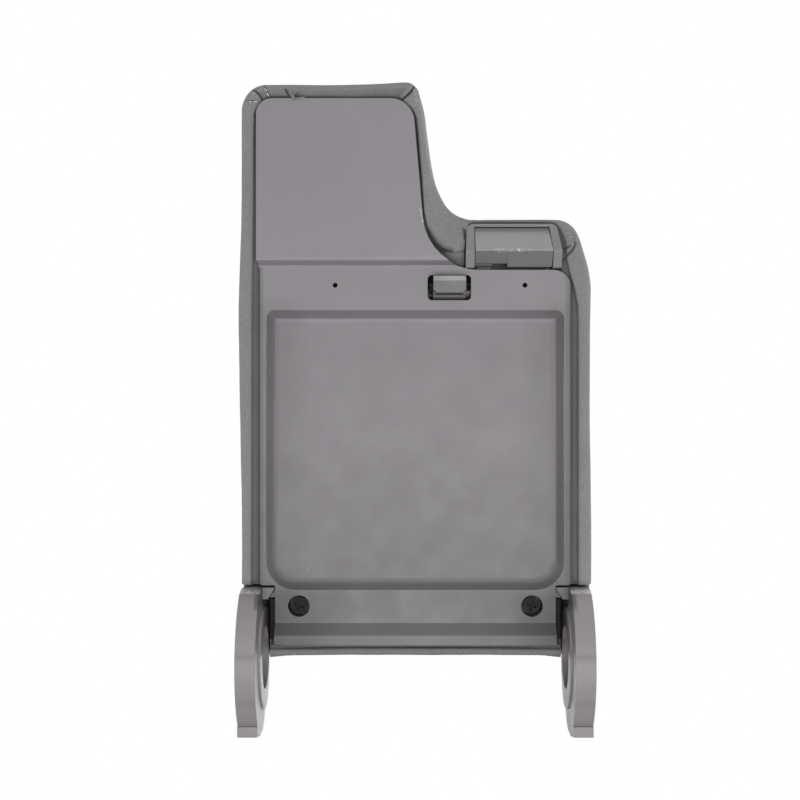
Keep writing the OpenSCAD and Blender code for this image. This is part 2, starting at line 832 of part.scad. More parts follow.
module latch_hook() {
    y = hook_at.x;
    x0 = hook_x - hook_w / 2;
    color(warm_grey)
        difference() {
            union() {
                side_profile(x0, x0 + hook_w)
                    polygon([[y + 0.2, hook_at.y], [y + 0.2, 1.6 - hook_drop], [y - 6.4, -hook_drop],
                             [y - 9.5, 3.5 - hook_drop], [y - 9.5, 5 - hook_drop],
                             [y - 3.3, 6 - hook_drop], [y - 3.3, hook_at.y]]);
                bar(hook_at, barrel_r, x0, finger_x + finger_w);
                side_profile(finger_x, finger_x + finger_w)
                    polygon([[contact_y - 1.8, finger_top - 3], [contact_y - 1.8, finger_top],
                             [y, finger_top], [y, finger_top - 3]]);
                bar([y - 0.9, -2.7], 1.1, x0 + hook_w - 1, x0 + hook_w + 2.6);
            }
            bar(hook_at, pin_d / 2 + pin_gap, x0 - 1, finger_x + finger_w + 1);
            for (x = [x0, x0 + hook_w])
                translate([x, y + 0.2, -hook_drop - 1])
                    cylinder(r = tip_chamfer, h = hook_drop - 5, $fn = 4);
        }
}

module latch_bracket() {
    y = hook_at.x;
    z0 = plate_z - bracket_wall;
    color(black)
        difference() {
            union() {
                block([bracket_x0 - bracket_ear, y - 8, z0],
                      [bracket_x1 + bracket_wall + bracket_ear, y + 8, plate_z]);
                for (x = [bracket_x0, bracket_x1]) {
                    block([x, y - 5, hook_at.y], [x + bracket_wall, y + 5, z0 + 0.5]);
                    bar(hook_at, 5, x, x + bracket_wall);
                }
            }
            bar(hook_at, pin_d / 2 + fixed_gap, bracket_x0 - 1, bracket_x1 + bracket_wall + 1);
            for (p = bracket_screws_at)
                post(p.x, p.y, screw_d / 2 + screw_gap, z0 - 1, plate_z + 1);
        }
}

module latch_pin() {
    color(steel) {
        bar(hook_at, pin_d / 2, bracket_x0 - 0.5, bracket_x1 + bracket_wall + 1);
        bar(hook_at, pin_d / 2 + 1, bracket_x0 - 1.5, bracket_x0 - 0.2);
    }
}

module paddle_pin() {
    color(steel)
        bar(paddle_at, pin_d / 2, bezel_x + 1.2, bezel_x + bezel_w - 1.2);
}

// Wire of radius r along points in space, swept with six sides
module wire(path, r) {
    n = 6;
    m = len(path);
    rings = [for (i = [0 : m - 1])
        let (t = unit(path[min(i + 1, m - 1)] - path[max(i - 1, 0)]),
             a = unit(cross(t, [1, 0, 0])),
             b = cross(t, a))
        [for (k = [0 : n - 1]) path[i] + r * (cos(k * 360 / n) * a + sin(k * 360 / n) * b)]];
    loft(rings);
}

// Torsion spring about [y, z]: turns from angle a0 to a1 with a straight leg at each end
module torsion_spring(at, coil_r, wire_r, x0, x1, a0, a1, leg0, leg1) {
    steps = round(abs(a1 - a0) / 20);
    way = sign(a1 - a0);
    turns = [for (i = [0 : steps])
        let (a = a0 + (a1 - a0) * i / steps)
        [x0 + (x1 - x0) * i / steps, at.x + coil_r * cos(a), at.y + coil_r * sin(a)]];
    first = [0, -sin(a0), cos(a0)] * way;
    last = [0, -sin(a1), cos(a1)] * way;
    color(steel)
        wire(concat([turns[0] - first * leg0], turns, [turns[steps] + last * leg1]), wire_r);
}

module latch_spring() {
    x = hook_x + hook_w / 2;
    torsion_spring(hook_at, barrel_r + 0.8, latch_wire_r, finger_x - 1, x + 1, 0, -1115, 6.4, 4.6);
}

module paddle_spring() {
    x = spring_x;
    torsion_spring(paddle_at, spring_r, paddle_wire_r, x + spring_w, x, 0, -1170, 9.4, 8);
}

cover();
foam_pad();
carrier();
cover_staples();
hinge_arm_left();
hinge_arm_right();
arm_screws();
lower_panel();
panel_screw_left();
panel_screw_right();
release_bezel();
bezel_screws();
release_paddle();
paddle_pin();
paddle_spring();
latch_bracket();
bracket_screws();
latch_hook();
latch_pin();
latch_spring();
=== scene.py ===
# %% [markdown]
# # An armrest lid, seen from below
# The lid of a car's centre console is a moulded carrier with foam on top and cloth wrapped round
# it. We look straight at its underside: a warm grey moulded panel with a shallow tray, a hook, a
# release paddle in its frame, and two hinge ears. The shapes that matter for fit come from the
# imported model. Here we dress it: cloth with folds and seams, grained plastic and soft light.

import math

import bmesh
import bpy
import numpy as np
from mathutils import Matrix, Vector, geometry, noise
from mathutils.bvhtree import BVHTree


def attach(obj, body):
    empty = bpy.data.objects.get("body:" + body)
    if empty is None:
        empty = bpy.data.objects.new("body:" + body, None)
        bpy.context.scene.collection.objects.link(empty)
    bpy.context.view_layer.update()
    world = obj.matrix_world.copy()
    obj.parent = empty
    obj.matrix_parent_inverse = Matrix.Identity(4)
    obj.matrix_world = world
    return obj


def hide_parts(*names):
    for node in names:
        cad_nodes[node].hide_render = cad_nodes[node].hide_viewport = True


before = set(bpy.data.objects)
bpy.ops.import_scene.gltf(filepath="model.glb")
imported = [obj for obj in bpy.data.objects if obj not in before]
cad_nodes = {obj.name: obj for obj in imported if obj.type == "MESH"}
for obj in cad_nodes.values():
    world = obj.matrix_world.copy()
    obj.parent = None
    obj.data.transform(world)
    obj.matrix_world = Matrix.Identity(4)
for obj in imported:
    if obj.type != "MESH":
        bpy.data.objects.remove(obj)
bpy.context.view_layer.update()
MM = 0.001
print("pieces in the packed lid:", len(cad_nodes))

# %% [markdown]
# ## Camera
# The picture was taken from straight below with a long lens. How much of the ears' side faces
# shows gives the distance, and the point where no side face shows gives the place of the lens
# axis. That point isn't the middle of the picture, so the lens is shifted a little.

# %% Camera
PHOTO_PX = 800
MM_PER_PX = 0.575
PANEL_FACE_Z = -7
CAMERA_DISTANCE = 820
AXIS_PX = (415.4, 425.0)
AXIS_Y = -134.6
SENSOR = 36

camera_data = bpy.data.cameras.new("camera")
camera_data.sensor_width = SENSOR
camera_data.lens = SENSOR * CAMERA_DISTANCE / (PHOTO_PX * MM_PER_PX)
camera_data.shift_x = (PHOTO_PX / 2 - AXIS_PX[0]) / PHOTO_PX
camera_data.shift_y = (AXIS_PX[1] - PHOTO_PX / 2) / PHOTO_PX
camera = bpy.data.objects.new("camera", camera_data)
camera.location = (0, AXIS_Y * MM, (PANEL_FACE_Z - CAMERA_DISTANCE) * MM)
camera.rotation_euler = (math.pi, 0, 0)
bpy.context.scene.collection.objects.link(camera)
bpy.context.scene.camera = camera
print("lens in mm:", round(camera_data.lens, 1))

# %% [markdown]
# ## Light
# The studio light is soft and comes from all round. A strong lamp stands on the camera's side, a
# little behind the lid's middle, a broad one on the pad's side, and three weak ones at the sides
# and in front. They leave only soft shade on slopes, in the tray and beside the cloth.
# The sky is white to the camera, in reflections and through clear things, but dim as a light.

# %% Light and background
SKY = 0.12
MIDDLE = (0, -0.16, 0)
# name, place in metres, length of a side in metres, watts
LAMPS = [
    ("camera side lamp", (0.05, 0.10, -1.55), 0.8, 21.5),
    ("pad side lamp", (0.30, -0.30, 1.30), 1.6, 12.0),
    ("side lamp", (-1.2, -0.16, 0.16), 0.6, 5.5),
    ("side lamp", (1.2, -0.16, 0.16), 0.6, 5.5),
    ("front lamp", (0.1, -1.5, 0.16), 0.6, 5.5)]


def area_lamp(name, place, size, watts):
    data = bpy.data.lights.new(name, "AREA")
    data.shape = "SQUARE"
    data.size = size
    data.energy = watts
    lamp = bpy.data.objects.new(name, data)
    lamp.location = place
    lamp.rotation_mode = "QUATERNION"
    lamp.rotation_quaternion = (Vector(MIDDLE) - Vector(place)).to_track_quat("-Z", "Y")
    bpy.context.scene.collection.objects.link(lamp)


for lamp_values in LAMPS:
    area_lamp(*lamp_values)

world = bpy.data.worlds.new("studio")
bpy.context.scene.world = world
world.use_nodes = True
sky_nodes, sky_links = world.node_tree.nodes, world.node_tree.links
background = sky_nodes["Background"]
ray = sky_nodes.new("ShaderNodeLightPath")
seen = sky_nodes.new("ShaderNodeMath")
seen.operation = "MAXIMUM"
mirrored = sky_nodes.new("ShaderNodeMath")
mirrored.operation = "MAXIMUM"
strength = sky_nodes.new("ShaderNodeMix")
strength.inputs["A"].default_value = SKY
strength.inputs["B"].default_value = 1.0
sky_links.new(ray.outputs["Is Camera Ray"], seen.inputs[0])
sky_links.new(ray.outputs["Is Glossy Ray"], mirrored.inputs[0])
sky_links.new(ray.outputs["Is Transmission Ray"], mirrored.inputs[1])
sky_links.new(mirrored.outputs[0], seen.inputs[1])
sky_links.new(seen.outputs[0], strength.inputs["Factor"])
sky_links.new(strength.outputs["Result"], background.inputs["Strength"])
background.inputs["Color"].default_value = (1, 1, 1, 1)
bpy.context.scene.view_settings.view_transform = "Standard"
print("lamps:", len(bpy.data.lights))

# %% [markdown]
# ## Node helpers
# Every finish below is a small tree of nodes. These helpers add a node, set its values and join
# its inputs, so that each finish reads as a list of what it is made of.


# %% Node helpers
class Finish:
    """A material with helpers to add nodes to it. Its texture space is the row frame, in metres."""

    def __init__(self, name):
        self.material = bpy.data.materials.new(name)
        self.material.use_nodes = True
        self.tree = self.material.node_tree
        self.shader = self.tree.nodes["Principled BSDF"]
        self.place = self.add("TexCoord").outputs["Object"]

    def add(self, kind, links=(), **values):
        node = self.tree.nodes.new("ShaderNode" + kind)
        for key, value in values.items():
            setattr(node, key, value)
        for socket, source in links:
            self.put(node.inputs[socket], source)
        return node

    def put(self, socket, source):
        if isinstance(source, bpy.types.NodeSocket):
            self.tree.links.new(source, socket)
        else:
            socket.default_value = source

    def math(self, operation, a, b=0.0):
        return self.add("Math", [(0, a), (1, b)], operation=operation).outputs[0]

    def product(self, a, b):
        return self.math("MULTIPLY", a, b)

    def away(self, value, place):
        """How far a value is from a place, whichever side it lies on."""
        return self.math("ABSOLUTE", self.math("SUBTRACT", value, place))

    def axes(self):
        """X, Y and Z of a point of the piece, in metres."""
        return tuple(self.add("SeparateXYZ", [(0, self.place)]).outputs)

    def colour(self):
        """What feeds the base colour so far."""
        return self.shader.inputs["Base Color"].links[0].from_socket

    def cloud(self, scale, detail=2.0):
        links = [("Vector", self.place), ("Scale", scale), ("Detail", detail)]
        return self.add("TexNoise", links).outputs["Fac"]

    def ramp(self, value, low, high, to_low=0.0, to_high=1.0):
        links = [("Value", value), ("From Min", low), ("From Max", high)]
        links += [("To Min", to_low), ("To Max", to_high)]
        return self.add("MapRange", links, clamp=True).outputs["Result"]

    def mix(self, share, a, b):
        node = self.add("Mix", data_type="RGBA")
        for socket, source in ((0, share), (6, a), (7, b)):
            self.put(node.inputs[socket], source)
        return node.outputs[2]

    def bump(self, height, strength, distance):
        links = [("Height", height), ("Strength", strength), ("Distance", distance)]
        return self.add("Bump", links).outputs["Normal"]

    def set(self, **values):
        for key, source in values.items():
            self.put(self.shader.inputs[key.replace("_", " ")], source)
        return self


def grey(red, green, blue):
    """A colour written as 0 to 255 on screen, turned into light."""
    def light(c):
        c /= 255
        return c / 12.92 if c < 0.04045 else ((c + 0.055) / 1.055) ** 2.4
    return (light(red), light(green), light(blue), 1.0)


def shade(colour, share):
    """The same colour, darker or lighter."""
    return tuple(c * share for c in colour[:3]) + (1.0,)


print("middle grey as light:", round(grey(128, 128, 128)[0], 3))

# %% [markdown]
# ## Moulded plastic
# The panel, ears, frame and paddle are moulded in warm grey plastic with a fine spark-eroded
# grain. The grain is under a millimetre, so it goes in as bump. A slow cloud of colour and a
# second one in the roughness keep large faces from looking painted. A few faint scratches show
# where things rubbed, and one short pale line on the panel's edge beside the nose is a painted glint.


# %% Moulded plastic
def pale_line(finish, start, end, width):
    """A thin line between two points of the underside, in mm, that breaks up along its length."""
    (x0, y0), (x1, y1) = start, end
    length = math.hypot(x1 - x0, y1 - y0)
    local = finish.add("Mapping", [("Vector", finish.place)], vector_type="TEXTURE")
    local.inputs["Location"].default_value = (x0 * MM, y0 * MM, 0)
    local.inputs["Rotation"].default_value = (0, 0, math.atan2(y1 - y0, x1 - x0))
    parts = finish.add("SeparateXYZ", [(0, local.outputs[0])]).outputs
    across = finish.ramp(finish.math("ABSOLUTE", parts["Y"]), 0, width * MM, 1, 0)
    from_middle = finish.math("ABSOLUTE", finish.math("SUBTRACT", parts["X"], length * MM / 2))
    along = finish.ramp(from_middle, length * MM * 0.4, length * MM / 2, 1, 0)
    broken = finish.ramp(finish.cloud(900), 0.42, 0.6)
    return finish.product(finish.product(across, along), broken)


def moulded(name, colour, grain=0.10, rough=0.52, pale_lines=()):
    plastic = Finish(name)
    tint = plastic.ramp(plastic.cloud(22, 3), 0.3, 0.7)
    base = plastic.mix(tint, shade(colour, 0.965), shade(colour, 1.035))
    pores = plastic.ramp(plastic.cloud(1500, 1), 0.35, 0.65, 0, 0.5)
    base = plastic.mix(pores, base, shade(colour, 0.93))
    for start, end, width, pale in pale_lines:
        line = plastic.product(pale_line(plastic, start, end, width), pale)
        base = plastic.mix(line, base, grey(205, 200, 200))
    rough_value = plastic.ramp(plastic.cloud(60, 3), 0.3, 0.7, rough - 0.05, rough + 0.06)
    fine = plastic.bump(plastic.cloud(1400, 2), grain, 0.0003)
    return plastic.set(Base_Color=base, Roughness=rough_value, Normal=fine, Specular_IOR_Level=0.4)


PANEL_GREY = grey(144, 140, 145)
# start and end in mm, width in mm, and how pale it is
SCRATCHES_AND_GLINT = [
    ((-63.5, -49.5), (-60.0, -55.0), 0.5, 0.5),
    ((-45, -120), (-30, -131), 0.25, 0.18),
    ((22, -96), (40, -88), 0.25, 0.15),
    ((-20, -286), (-8, -270), 0.3, 0.18),
    # the last one is no scratch but a painted glint on the panel's edge beside the nose
    ((2.9, -259.5), (4.5, -249.5), 0.9, 0.9)]
panel_plastic = moulded("panel plastic", PANEL_GREY, pale_lines=SCRATCHES_AND_GLINT)
ear_plastic = moulded("ear plastic", grey(148, 143, 146), grain=0.06, rough=0.46)
frame_plastic = moulded("frame plastic", grey(134, 131, 132), rough=0.48)
hook_plastic = moulded("hook plastic", grey(99, 95, 97), grain=0.05, rough=0.45)
bracket_plastic = moulded("bracket plastic", grey(46, 45, 46), rough=0.6)
carrier_plastic = moulded("carrier plastic", grey(34, 34, 35), rough=0.6)
carrier_plastic.set(Specular_IOR_Level=0.1)
print("moulded finishes:", 6)

# %% [markdown]
# In the picture the panel isn't one even grey. It is darker behind the tray and towards the ears,
# and slopes look darker than flat faces. That is painted shade: dark grey is mixed in by place, and
# by how far a face leans. The hook's front slope is the other way round and gets a painted
# highlight, and the frame's side faces and the strip under the paddle get painted shade.

# %% Painted shade and highlight on the panel, hook and frame
# dark grey mixed in as painted shade
SHADE_GREY = grey(20, 19, 20)
# where a change begins and where it is complete, in metres along or across the lid
NOSE_END = (-0.2265, -0.2245)
TRAY_FRONT = (-0.210, -0.200)
FRONT_BAND = (-0.205, -0.195)
TRAY_LENGTH = (-0.130, -0.045)
TRAY_REAR = (-0.047, -0.036)
TRAY_SIDES = (0.060, 0.080)
REAR_CORNERS = (0.036, 0.082)
RIGHT_STRIP = (0.0855, 0.0870)
RIGHT_RIM = (0.0882, 0.0890)
LEFT_RIM = (-0.0895, -0.0868)
LEFT_LEG = (0.0338, 0.0343)
RIGHT_LEG = (0.0762, 0.0768)
UNDER_PADDLE = (-0.2300, -0.2290)
# the same for how far a face turns towards an axis
SIDE_FACE = (0.7, 0.9)
FLAT_FACE = (0.80, 0.97)
HOOK_FRONT = (-0.55, -0.25)


def by_normal(finish, axis):
    """How far a face turns towards an axis of the row frame, from -1 to 1."""
    return finish.add("SeparateXYZ", [(0, finish.add("TexCoord").outputs["Normal"])]).outputs[axis]


def side_shade(finish, share):
    """The share of painted shade on faces that look sideways, and nothing on the others."""
    return finish.ramp(finish.math("ABSOLUTE", by_normal(finish, "X")), *SIDE_FACE, 0, share)


def paint_panel_shade(plastic):
    x, y = plastic.axes()[:2]
    aside = plastic.math("ABSOLUTE", x)
    behind_nose = plastic.ramp(y, *NOSE_END)
    behind_tray = plastic.ramp(y, *TRAY_REAR)
    in_tray = plastic.product(plastic.ramp(y, *TRAY_REAR, 1, 0), plastic.ramp(y, *TRAY_FRONT))
    # each share mixes painted shade into the panel: darker towards the rear, behind the tray, near the ears
    # and the tray's sides, along the rims, and on faces that look sideways or slope
    shares = [
        plastic.ramp(y, *NOSE_END, 0, 0.04),
        plastic.ramp(y, *FRONT_BAND, 0, 0.05),
        plastic.ramp(y, *TRAY_LENGTH, 0, 0.27),
        plastic.ramp(y, *TRAY_REAR, 0, 0.08),
        plastic.product(behind_tray, plastic.ramp(aside, *REAR_CORNERS, 0, 0.60)),
        plastic.product(in_tray, plastic.ramp(aside, *TRAY_SIDES, 0, 0.18)),
        plastic.product(behind_nose, plastic.ramp(x, *RIGHT_STRIP, 0, 0.25)),
        plastic.product(behind_nose, plastic.ramp(x, *RIGHT_RIM, 0, 0.60)),
        plastic.product(behind_nose, plastic.ramp(x, *LEFT_RIM, 0.40, 0)),
        plastic.product(behind_tray, side_shade(plastic, 0.85)),
        plastic.ramp(plastic.math("ABSOLUTE", by_normal(plastic, "Z")), *FLAT_FACE, 0.05, 0)]
    base = plastic.colour()
    for share in shares:
        base = plastic.mix(share, base, SHADE_GREY)
    plastic.set(Base_Color=base)
    return len(shares)


# the hook's front slope is painted lighter: a painted highlight
def paint_hook_highlight(plastic):
    front = plastic.ramp(by_normal(plastic, "Y"), *HOOK_FRONT, 1, 0)
    plastic.set(Base_Color=plastic.mix(front, plastic.colour(), grey(156, 152, 154)))


# painted shade on the frame's side faces and on the strip under the paddle
def paint_frame_shade(plastic):
    x, y = plastic.axes()[:2]
    between_legs = plastic.product(plastic.ramp(x, *LEFT_LEG), plastic.ramp(x, *RIGHT_LEG, 1, 0))
    under_paddle = plastic.product(between_legs, plastic.ramp(y, *UNDER_PADDLE, 0, 0.85))
    share = plastic.math("MAXIMUM", side_shade(plastic, 0.8), under_paddle)
    plastic.set(Base_Color=plastic.mix(share, plastic.colour(), SHADE_GREY))


print("dull shares on the panel:", paint_panel_shade(panel_plastic))
paint_hook_highlight(hook_plastic)
paint_frame_shade(frame_plastic)

# %% [markdown]
# The paddle is pulled with a finger thousands of times. Its crease, the part nearest to us, has
# lost its skin in pale specks. They lie within about a millimetre of the crease, and a noise
# breaks them up. A faint pale line runs along the crease. Behind the crease the paddle gets a
# little painted shade, and its side faces get painted shade too.

# %% Worn paddle plastic, with painted shade
CREASE_Y = -234.0
WORN_FROM_X, WORN_TO_X = 44, 66
WEAR_GROWS, WEAR_FADES = 3, 8
HALF_STEP = 0.2
# distances from the crease, and heights, in metres: up to the first the mark is full, at the
# second it has gone
SPECKS_REACH = (0.0003, 0.0013)
LINE_REACH = (0.0, 0.0005)
CREASE_HEIGHT = (-0.0160, -0.0155)


def wear_and_shade_paddle(plastic):
    x, y, z = plastic.axes()
    off_crease = plastic.away(y, CREASE_Y * MM)
    near_crease = plastic.ramp(off_crease, *SPECKS_REACH, 1, 0)
    grows = plastic.ramp(x, WORN_FROM_X * MM, (WORN_FROM_X + WEAR_GROWS) * MM)
    fades = plastic.ramp(x, (WORN_TO_X - WEAR_FADES) * MM, WORN_TO_X * MM, 1, 0.1)
    rubbed = plastic.product(near_crease, plastic.product(grows, fades))
    worn = plastic.product(rubbed, plastic.ramp(plastic.cloud(750, 3), 0.50, 0.58))
    on_line = plastic.ramp(off_crease, *LINE_REACH, 0.45, 0)
    edge_line = plastic.product(on_line, plastic.ramp(z, *CREASE_HEIGHT, 1, 0))
    # painted shade behind the crease, and below on the side faces
    behind_shade = plastic.ramp(y, (CREASE_Y - HALF_STEP) * MM, (CREASE_Y + HALF_STEP) * MM, 0, 0.30)
    base = plastic.mix(behind_shade, plastic.colour(), grey(60, 58, 59))
    base = plastic.mix(edge_line, base, grey(176, 174, 173))
    base = plastic.mix(worn, base, grey(212, 210, 208))
    plastic.set(Base_Color=plastic.mix(side_shade(plastic, 0.8), base, SHADE_GREY))


paddle_plastic = moulded("paddle plastic", grey(139, 138, 138), rough=0.46)
wear_and_shade_paddle(paddle_plastic)
print("the paddle is worn between", WORN_FROM_X, "and", WORN_TO_X, "mm")

# %% [markdown]
# The ears rub on the console. Their front edge has worn pale and uneven, and two faint dark bands
# cross the rim. The low web in front, beside the panel, gets painted shade.

# %% Worn ears, with painted shade on the web
EAR_EDGE_Y, EAR_EDGE_Z, WEB_EDGE_Y = -40.4, -21.0, -41.9
# distances from these edges, and places, in metres: up to the first the mark is full, at the
# second it has gone, apart from the rear half, which grows darker
EDGE_REACH_Y = (0.0006, 0.0014)
EDGE_REACH_Z = (0.0030, 0.0042)
WEB_REACH = (0.0003, 0.0009)
WEB_HEIGHT = (-0.0066, -0.0060)
WEB_SHADE_SIDE = (0.0895, 0.0910)
WEB_SHADE_END = (-0.034, -0.030)
REAR_HALF = (-0.012, 0.002)
# how far a face may turn sideways and still belong to the rim
RIM_FACE = (0.3, 0.7)
# middle and half width of each band in mm, and how dark it is
RIM_BANDS = [(-7, 3.5, 0.28), (19, 3.0, 0.14)]


def wear_and_shade_ears(plastic):
    x, y, z = plastic.axes()
    near_y = plastic.ramp(plastic.away(y, EAR_EDGE_Y * MM), *EDGE_REACH_Y, 1, 0)
    near_z = plastic.ramp(plastic.away(z, EAR_EDGE_Z * MM), *EDGE_REACH_Z, 1, 0)
    near_web = plastic.ramp(plastic.away(y, WEB_EDGE_Y * MM), *WEB_REACH, 0.8, 0)
    web_edge = plastic.product(near_web, plastic.ramp(z, *WEB_HEIGHT, 1, 0))
    edges = plastic.math("MAXIMUM", plastic.product(near_y, near_z), web_edge)
    rubbed = plastic.product(edges, plastic.ramp(plastic.cloud(480, 4), 0.36, 0.50, 0.25, 1.0))
    on_rim = plastic.ramp(plastic.math("ABSOLUTE", by_normal(plastic, "X")), *RIM_FACE, 1, 0)
    base = plastic.colour()
    for band_y, half_width, share in RIM_BANDS:
        on_band = plastic.ramp(plastic.away(y, band_y * MM), 0, half_width * MM, share, 0)
        base = plastic.mix(plastic.product(on_rim, on_band), base, grey(60, 56, 60))
    base = plastic.mix(plastic.ramp(y, *REAR_HALF, 0, 0.10), base, grey(60, 56, 60))
    # painted shade on the low web beside the panel
    inside = plastic.ramp(plastic.math("ABSOLUTE", x), *WEB_SHADE_SIDE, 1, 0)
    web_shade = plastic.product(inside, plastic.ramp(y, *WEB_SHADE_END, 1, 0))
    base = plastic.mix(plastic.product(web_shade, 0.62), base, SHADE_GREY)
    plastic.set(Base_Color=plastic.mix(rubbed, base, grey(226, 222, 220)))


wear_and_shade_ears(ear_plastic)
print("worn edge at y", EAR_EDGE_Y, "mm")

# %% [markdown]
# ## Steel
# Screws, pins, staples and springs are steel. The two screws that show are blackened, so they are
# matt and dark. A cloud in the colour and a finer one in the roughness stand for wear and oil.


# %% Steel finishes
def metal(name, colour, rough, metallic):
    steel = Finish(name)
    base = steel.mix(steel.ramp(steel.cloud(300, 3), 0.3, 0.7), shade(colour, 0.85), colour)
    rough_value = steel.ramp(steel.cloud(900, 4), 0.3, 0.7, rough - 0.08, rough + 0.1)
    fine = steel.bump(steel.cloud(2500, 1), 0.05, 0.0002)
    return steel.set(Base_Color=base, Roughness=rough_value, Metallic=metallic, Normal=fine)


zinc = metal("zinc plated steel", grey(190, 190, 194), 0.36, 1.0)
black_steel = metal("blackened steel", grey(26, 22, 22), 0.5, 0.0)
oiled_steel = metal("oiled steel", grey(58, 56, 56), 0.5, 0.3)
black_steel.set(Specular_IOR_Level=0.1)
oiled_steel.set(Specular_IOR_Level=0.2)
print("steel finishes: 3")

# %% [markdown]
# ## Cloth
# The cover is a tight woven cloth, neutral grey beside the warm plastic. Its thread is under a
# millimetre, so warp and weft are two waves across the cloth's own coordinates, in metres, used
# as bump and as a little colour. A sheen lifts it where it turns away.

# %% Cloth finish
THREAD = 0.00095
SWAY = 0.00012
HOLE_Z = -6.5
# place and reach in mm of the painted shade in four needle holes of the seam, and in the open corner at the
# release frame
SHADED_HOLES = [
    ((91.5, -243.7), 0.55), ((91.7, -241.8), 0.6), ((91.6, -240.0), 0.5), ((90.8, -245.2), 0.4),
    ((28.1, -247.4), 1.4)]


def woven(name, colour):
    fabric = Finish(name)
    grid = fabric.add("UVMap", uv_map="cloth").outputs[0]
    sway = [(axis, fabric.ramp(fabric.cloud(scale), 0, 1, -SWAY, SWAY))
            for axis, scale in ((0, 200), (1, 230))]
    moved = fabric.add("CombineXYZ", sway).outputs[0]
    swayed = fabric.add("VectorMath", [(0, grid), (1, moved)], operation="ADD").outputs[0]
    parts = fabric.add("SeparateXYZ", [(0, swayed)]).outputs
    turns = math.tau / THREAD
    warp = fabric.math("SINE", fabric.product(parts["X"], turns))
    weft = fabric.math("SINE", fabric.product(parts["Y"], turns))
    weave = fabric.ramp(fabric.product(warp, weft), -1, 1)
    height = fabric.math("ADD", weave, fabric.product(fabric.cloud(2600, 2), 0.6))
    base = fabric.mix(weave, shade(colour, 0.78), shade(colour, 1.12))
    faded = fabric.ramp(fabric.cloud(45, 4), 0.3, 0.7, 0, 0.7)
    pits = fabric.ramp(fabric.cloud(900, 3), 0.35, 0.65, 0.45, 0)
    fluff = fabric.ramp(fabric.cloud(1300, 2), 0.55, 0.72, 0, 0.5)
    for share, level in ((faded, 0.84), (pits, 0.60), (fluff, 1.35)):
        base = fabric.mix(share, base, shade(colour, level))
    for (x, y), size in SHADED_HOLES:
        hole = (x * MM, y * MM, HOLE_Z * MM)
        off = fabric.add("VectorMath", [(0, fabric.place), (1, hole)], operation="DISTANCE").outputs["Value"]
        base = fabric.mix(fabric.ramp(off, size * 0.5 * MM, size * MM, 0.85, 0), base, grey(28, 28, 28))
    # painted shade, kept in the mesh's crease attribute: in folds, beside the panel and on hidden cloth
    dark = fabric.add("Attribute", attribute_name="crease").outputs["Fac"]
    base = fabric.mix(dark, base, shade(colour, 0.10))
    fine = fabric.bump(height, 0.35, 0.00018)
    fabric.set(Base_Color=base, Roughness=0.85, Normal=fine, Specular_IOR_Level=0.25)
    return fabric.set(Sheen_Weight=0.12, Sheen_Roughness=0.5)


CLOTH_GREY = grey(147, 148, 147)
cloth = woven("grey cloth", CLOTH_GREY)
print("threads in 10 mm:", round(0.01 / THREAD, 1))

# %% [markdown]
# ## The outline of the lid
# The cover follows two closed lines: the lid's own outline, and the edge where the cloth dives in
# beside the panel and round the release frame. Both are polygons with rounded corners, so one
# helper makes a fine line from corners, and a second walks along it.


# %% Lines with rounded corners
def unit(v):
    return v / np.linalg.norm(v)


def inset_corners(corners, inset):
    """The polygon's corners after every edge moves inwards, with the radii that go with it."""
    n, moved = len(corners), []
    for i in range(n):
        a, b, c = (np.array(corners[(i + k - 1) % n][:2], float) for k in range(3))
        n1, n2 = unit(np.array([-(b - a)[1], (b - a)[0]])), unit(np.array([-(c - b)[1], (c - b)[0]]))
        corner = b + inset * (n1 + n2) / (1 + n1 @ n2)
        convex = (b - a)[0] * (c - b)[1] - (b - a)[1] * (c - b)[0] > 0
        radius = corners[i][2]
        moved.append((*corner, max(radius - inset, 0.5) if convex else radius + inset))
    return moved


def fine_outline(corners, inset, arc_steps, edge_steps):
    """Points of the rounded polygon: arc_steps in each corner and edge_steps on each edge."""
    corners = inset_corners(corners, inset)
    n, arcs = len(corners), []
    for i in range(n):
        a, b, c = (np.array(corners[(i + k - 1) % n][:2], float) for k in range(3))
        u, v = unit(a - b), unit(c - b)
        half = math.acos(float(u @ v)) / 2
        r = corners[i][2]
        centre = b + unit(u + v) * r / math.sin(half)
        start = b + u * r / math.tan(half) - centre
        turn = math.copysign(math.pi - 2 * half, (b - a)[0] * (c - b)[1] - (b - a)[1] * (c - b)[0])
        angle = math.atan2(start[1], start[0]) + turn * np.linspace(0, 1, arc_steps[i] + 1)
        arcs.append(centre + r * np.stack([np.cos(angle), np.sin(angle)], 1))
    points = []
    for i in range(n):
        points.extend(arcs[i])
        share = np.linspace(0, 1, edge_steps[i] + 1)[1:-1, None]
        points.extend(arcs[i][-1] * (1 - share) + arcs[(i + 1) % n][0] * share)
    return np.array(points)


class Walk:
    """A line of points that can be walked along by distance."""

    def __init__(self, points, closed=True):
        self.points = np.vstack([points, points[:1]]) if closed else np.array(points)
        self.far = np.concatenate([[0], np.cumsum(np.linalg.norm(np.diff(self.points, axis=0), axis=1))])
        self.length = self.far[-1]

    def at(self, distance):
        d = np.mod(distance, self.length)
        return np.stack([np.interp(d, self.far, self.points[:, k]) for k in range(self.points.shape[1])], 1)

    def near(self, point):
        return self.far[np.argmin(np.linalg.norm(self.points - np.array(point), axis=1))]


# %% [markdown]
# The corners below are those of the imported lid, in mm. The nose is on the left, the notch for the
# fingers on the right, and the hinge at the rear.

